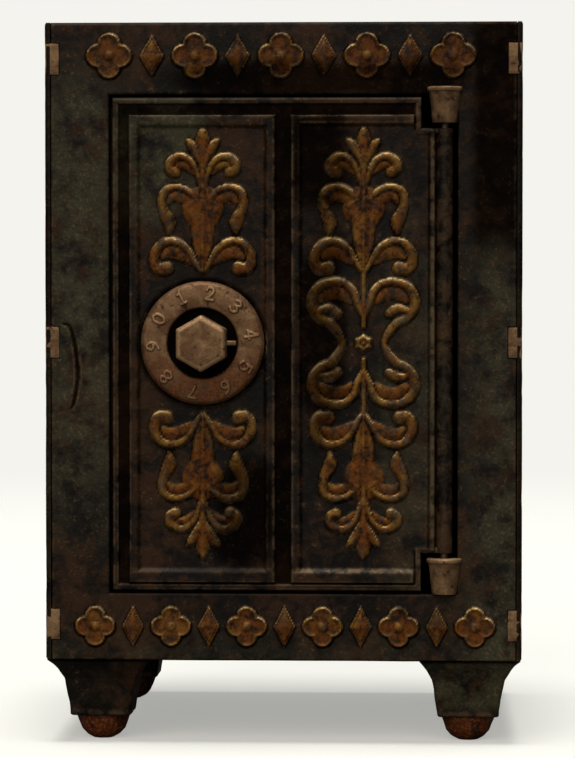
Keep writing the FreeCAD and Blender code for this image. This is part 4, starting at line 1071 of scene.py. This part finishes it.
# ---- Floor, light and camera ----
def make_floor():
    """A pale floor that fades out into the background."""
    mesh = bpy.data.meshes.new("floor")
    rings, count = [0.0, 0.2, 0.4, 0.7, 1.1, 1.6], 96
    points = [(0, 0.02, 0)]
    for r in rings[1:]:
        points += [(r * math.cos(a), 0.02 + r * math.sin(a), 0) for a in turns(count)]
    faces = [(0, 1 + k, 1 + (k + 1) % count) for k in range(count)]
    faces += ring_faces(len(rings) - 1, count, first=1, flipped=True)
    mesh.from_pydata(points, [], faces)
    floor = linked("floor", mesh)
    g = Graph("pale_floor")
    tree = g.tree

    def blend(factor, first, second):
        node = g.node("MixShader")
        for socket, value in zip(node.inputs, (factor, first, second)):
            g.put(socket, value) if isinstance(value, float) else tree.links.new(value, socket)
        return node.outputs[0]

    away = g.node("VectorMath")
    away.operation = "LENGTH"
    tree.links.new(g.where, away.inputs[0])
    glow = g.node("Emission", color=(0.905, 0.905, 0.86))
    dull = g.node("BsdfDiffuse", color=(0.12, 0.12, 0.115))
    clear = g.node("BsdfTransparent")
    seen = g.node("LightPath").outputs["Is Camera Ray"]
    paper = blend(seen, dull.outputs[0], blend(FLOOR_GLOW, g.shader.outputs[0], glow.outputs[0]))
    paper = blend(g.ramp(away.outputs["Value"], 0.30, 1.0), paper, clear.outputs[0])
    tree.links.new(paper, tree.nodes["Material Output"].inputs["Surface"])
    g.finish(base_color=FLOOR_COLOR, roughness=0.9, specular_ior_level=0.0)
    mesh.materials.append(g.material)


def make_world():
    """Pale to look at, and dimmer as a source of light, so the lamps shape the iron."""
    world = bpy.data.worlds.new("studio")
    bpy.context.scene.world = world
    world.use_nodes = True
    tree, link = world.node_tree, world.node_tree.links.new
    seen = tree.nodes["Background"]
    seen.inputs["Color"].default_value = (0.905, 0.896, 0.855, 1)
    seen.inputs["Strength"].default_value = 1.0
    fill = tree.nodes.new("ShaderNodeBackground")
    fill.inputs["Color"].default_value = (0.95, 0.98, 1.0, 1)
    fill.inputs["Strength"].default_value = FILL
    rays, blend = tree.nodes.new("ShaderNodeLightPath"), tree.nodes.new("ShaderNodeMixShader")
    link(rays.outputs["Is Camera Ray"], blend.inputs[0])
    link(fill.outputs[0], blend.inputs[1])
    link(seen.outputs[0], blend.inputs[2])
    link(blend.outputs[0], tree.nodes["World Output"].inputs["Surface"])


def sun(name, azimuth, height, softness, strength, color):
    """A soft distant lamp. Azimuth 0 is straight in front, and positive is to the viewer's right."""
    light = bpy.data.lights.new(name, "SUN")
    light.angle = math.radians(softness)
    light.energy = strength
    light.color = color
    lamp = linked(name, light)
    lamp.rotation_euler = (math.radians(90 - height), 0, math.radians(azimuth))


FLOOR_COLOR = (0.74, 0.745, 0.71)
FLOOR_GLOW = 0.42
FILL = 0.06
make_floor()
make_world()
sun("overhead", -18, 86, 24, 3.5, (1.0, 0.985, 0.95))
sun("front", -8, 34, 56, 1.95, (1.0, 0.915, 0.79))
sun("rear", 165, 38, 80, 0.45, (1.0, 0.97, 0.92))

camera = bpy.data.cameras.new("camera")
camera.sensor_width = 36.0
camera.lens = 157.38
camera.clip_start, camera.clip_end = 0.01, 20
holder = linked("camera", camera)
holder.location = (0.0310, (FRONT - 700) / 1000, 0.1002)
holder.rotation_euler = (math.radians(88.16), 0, math.radians(2.46))
bpy.context.scene.camera = holder
bpy.context.scene.view_settings.view_transform = "Standard"
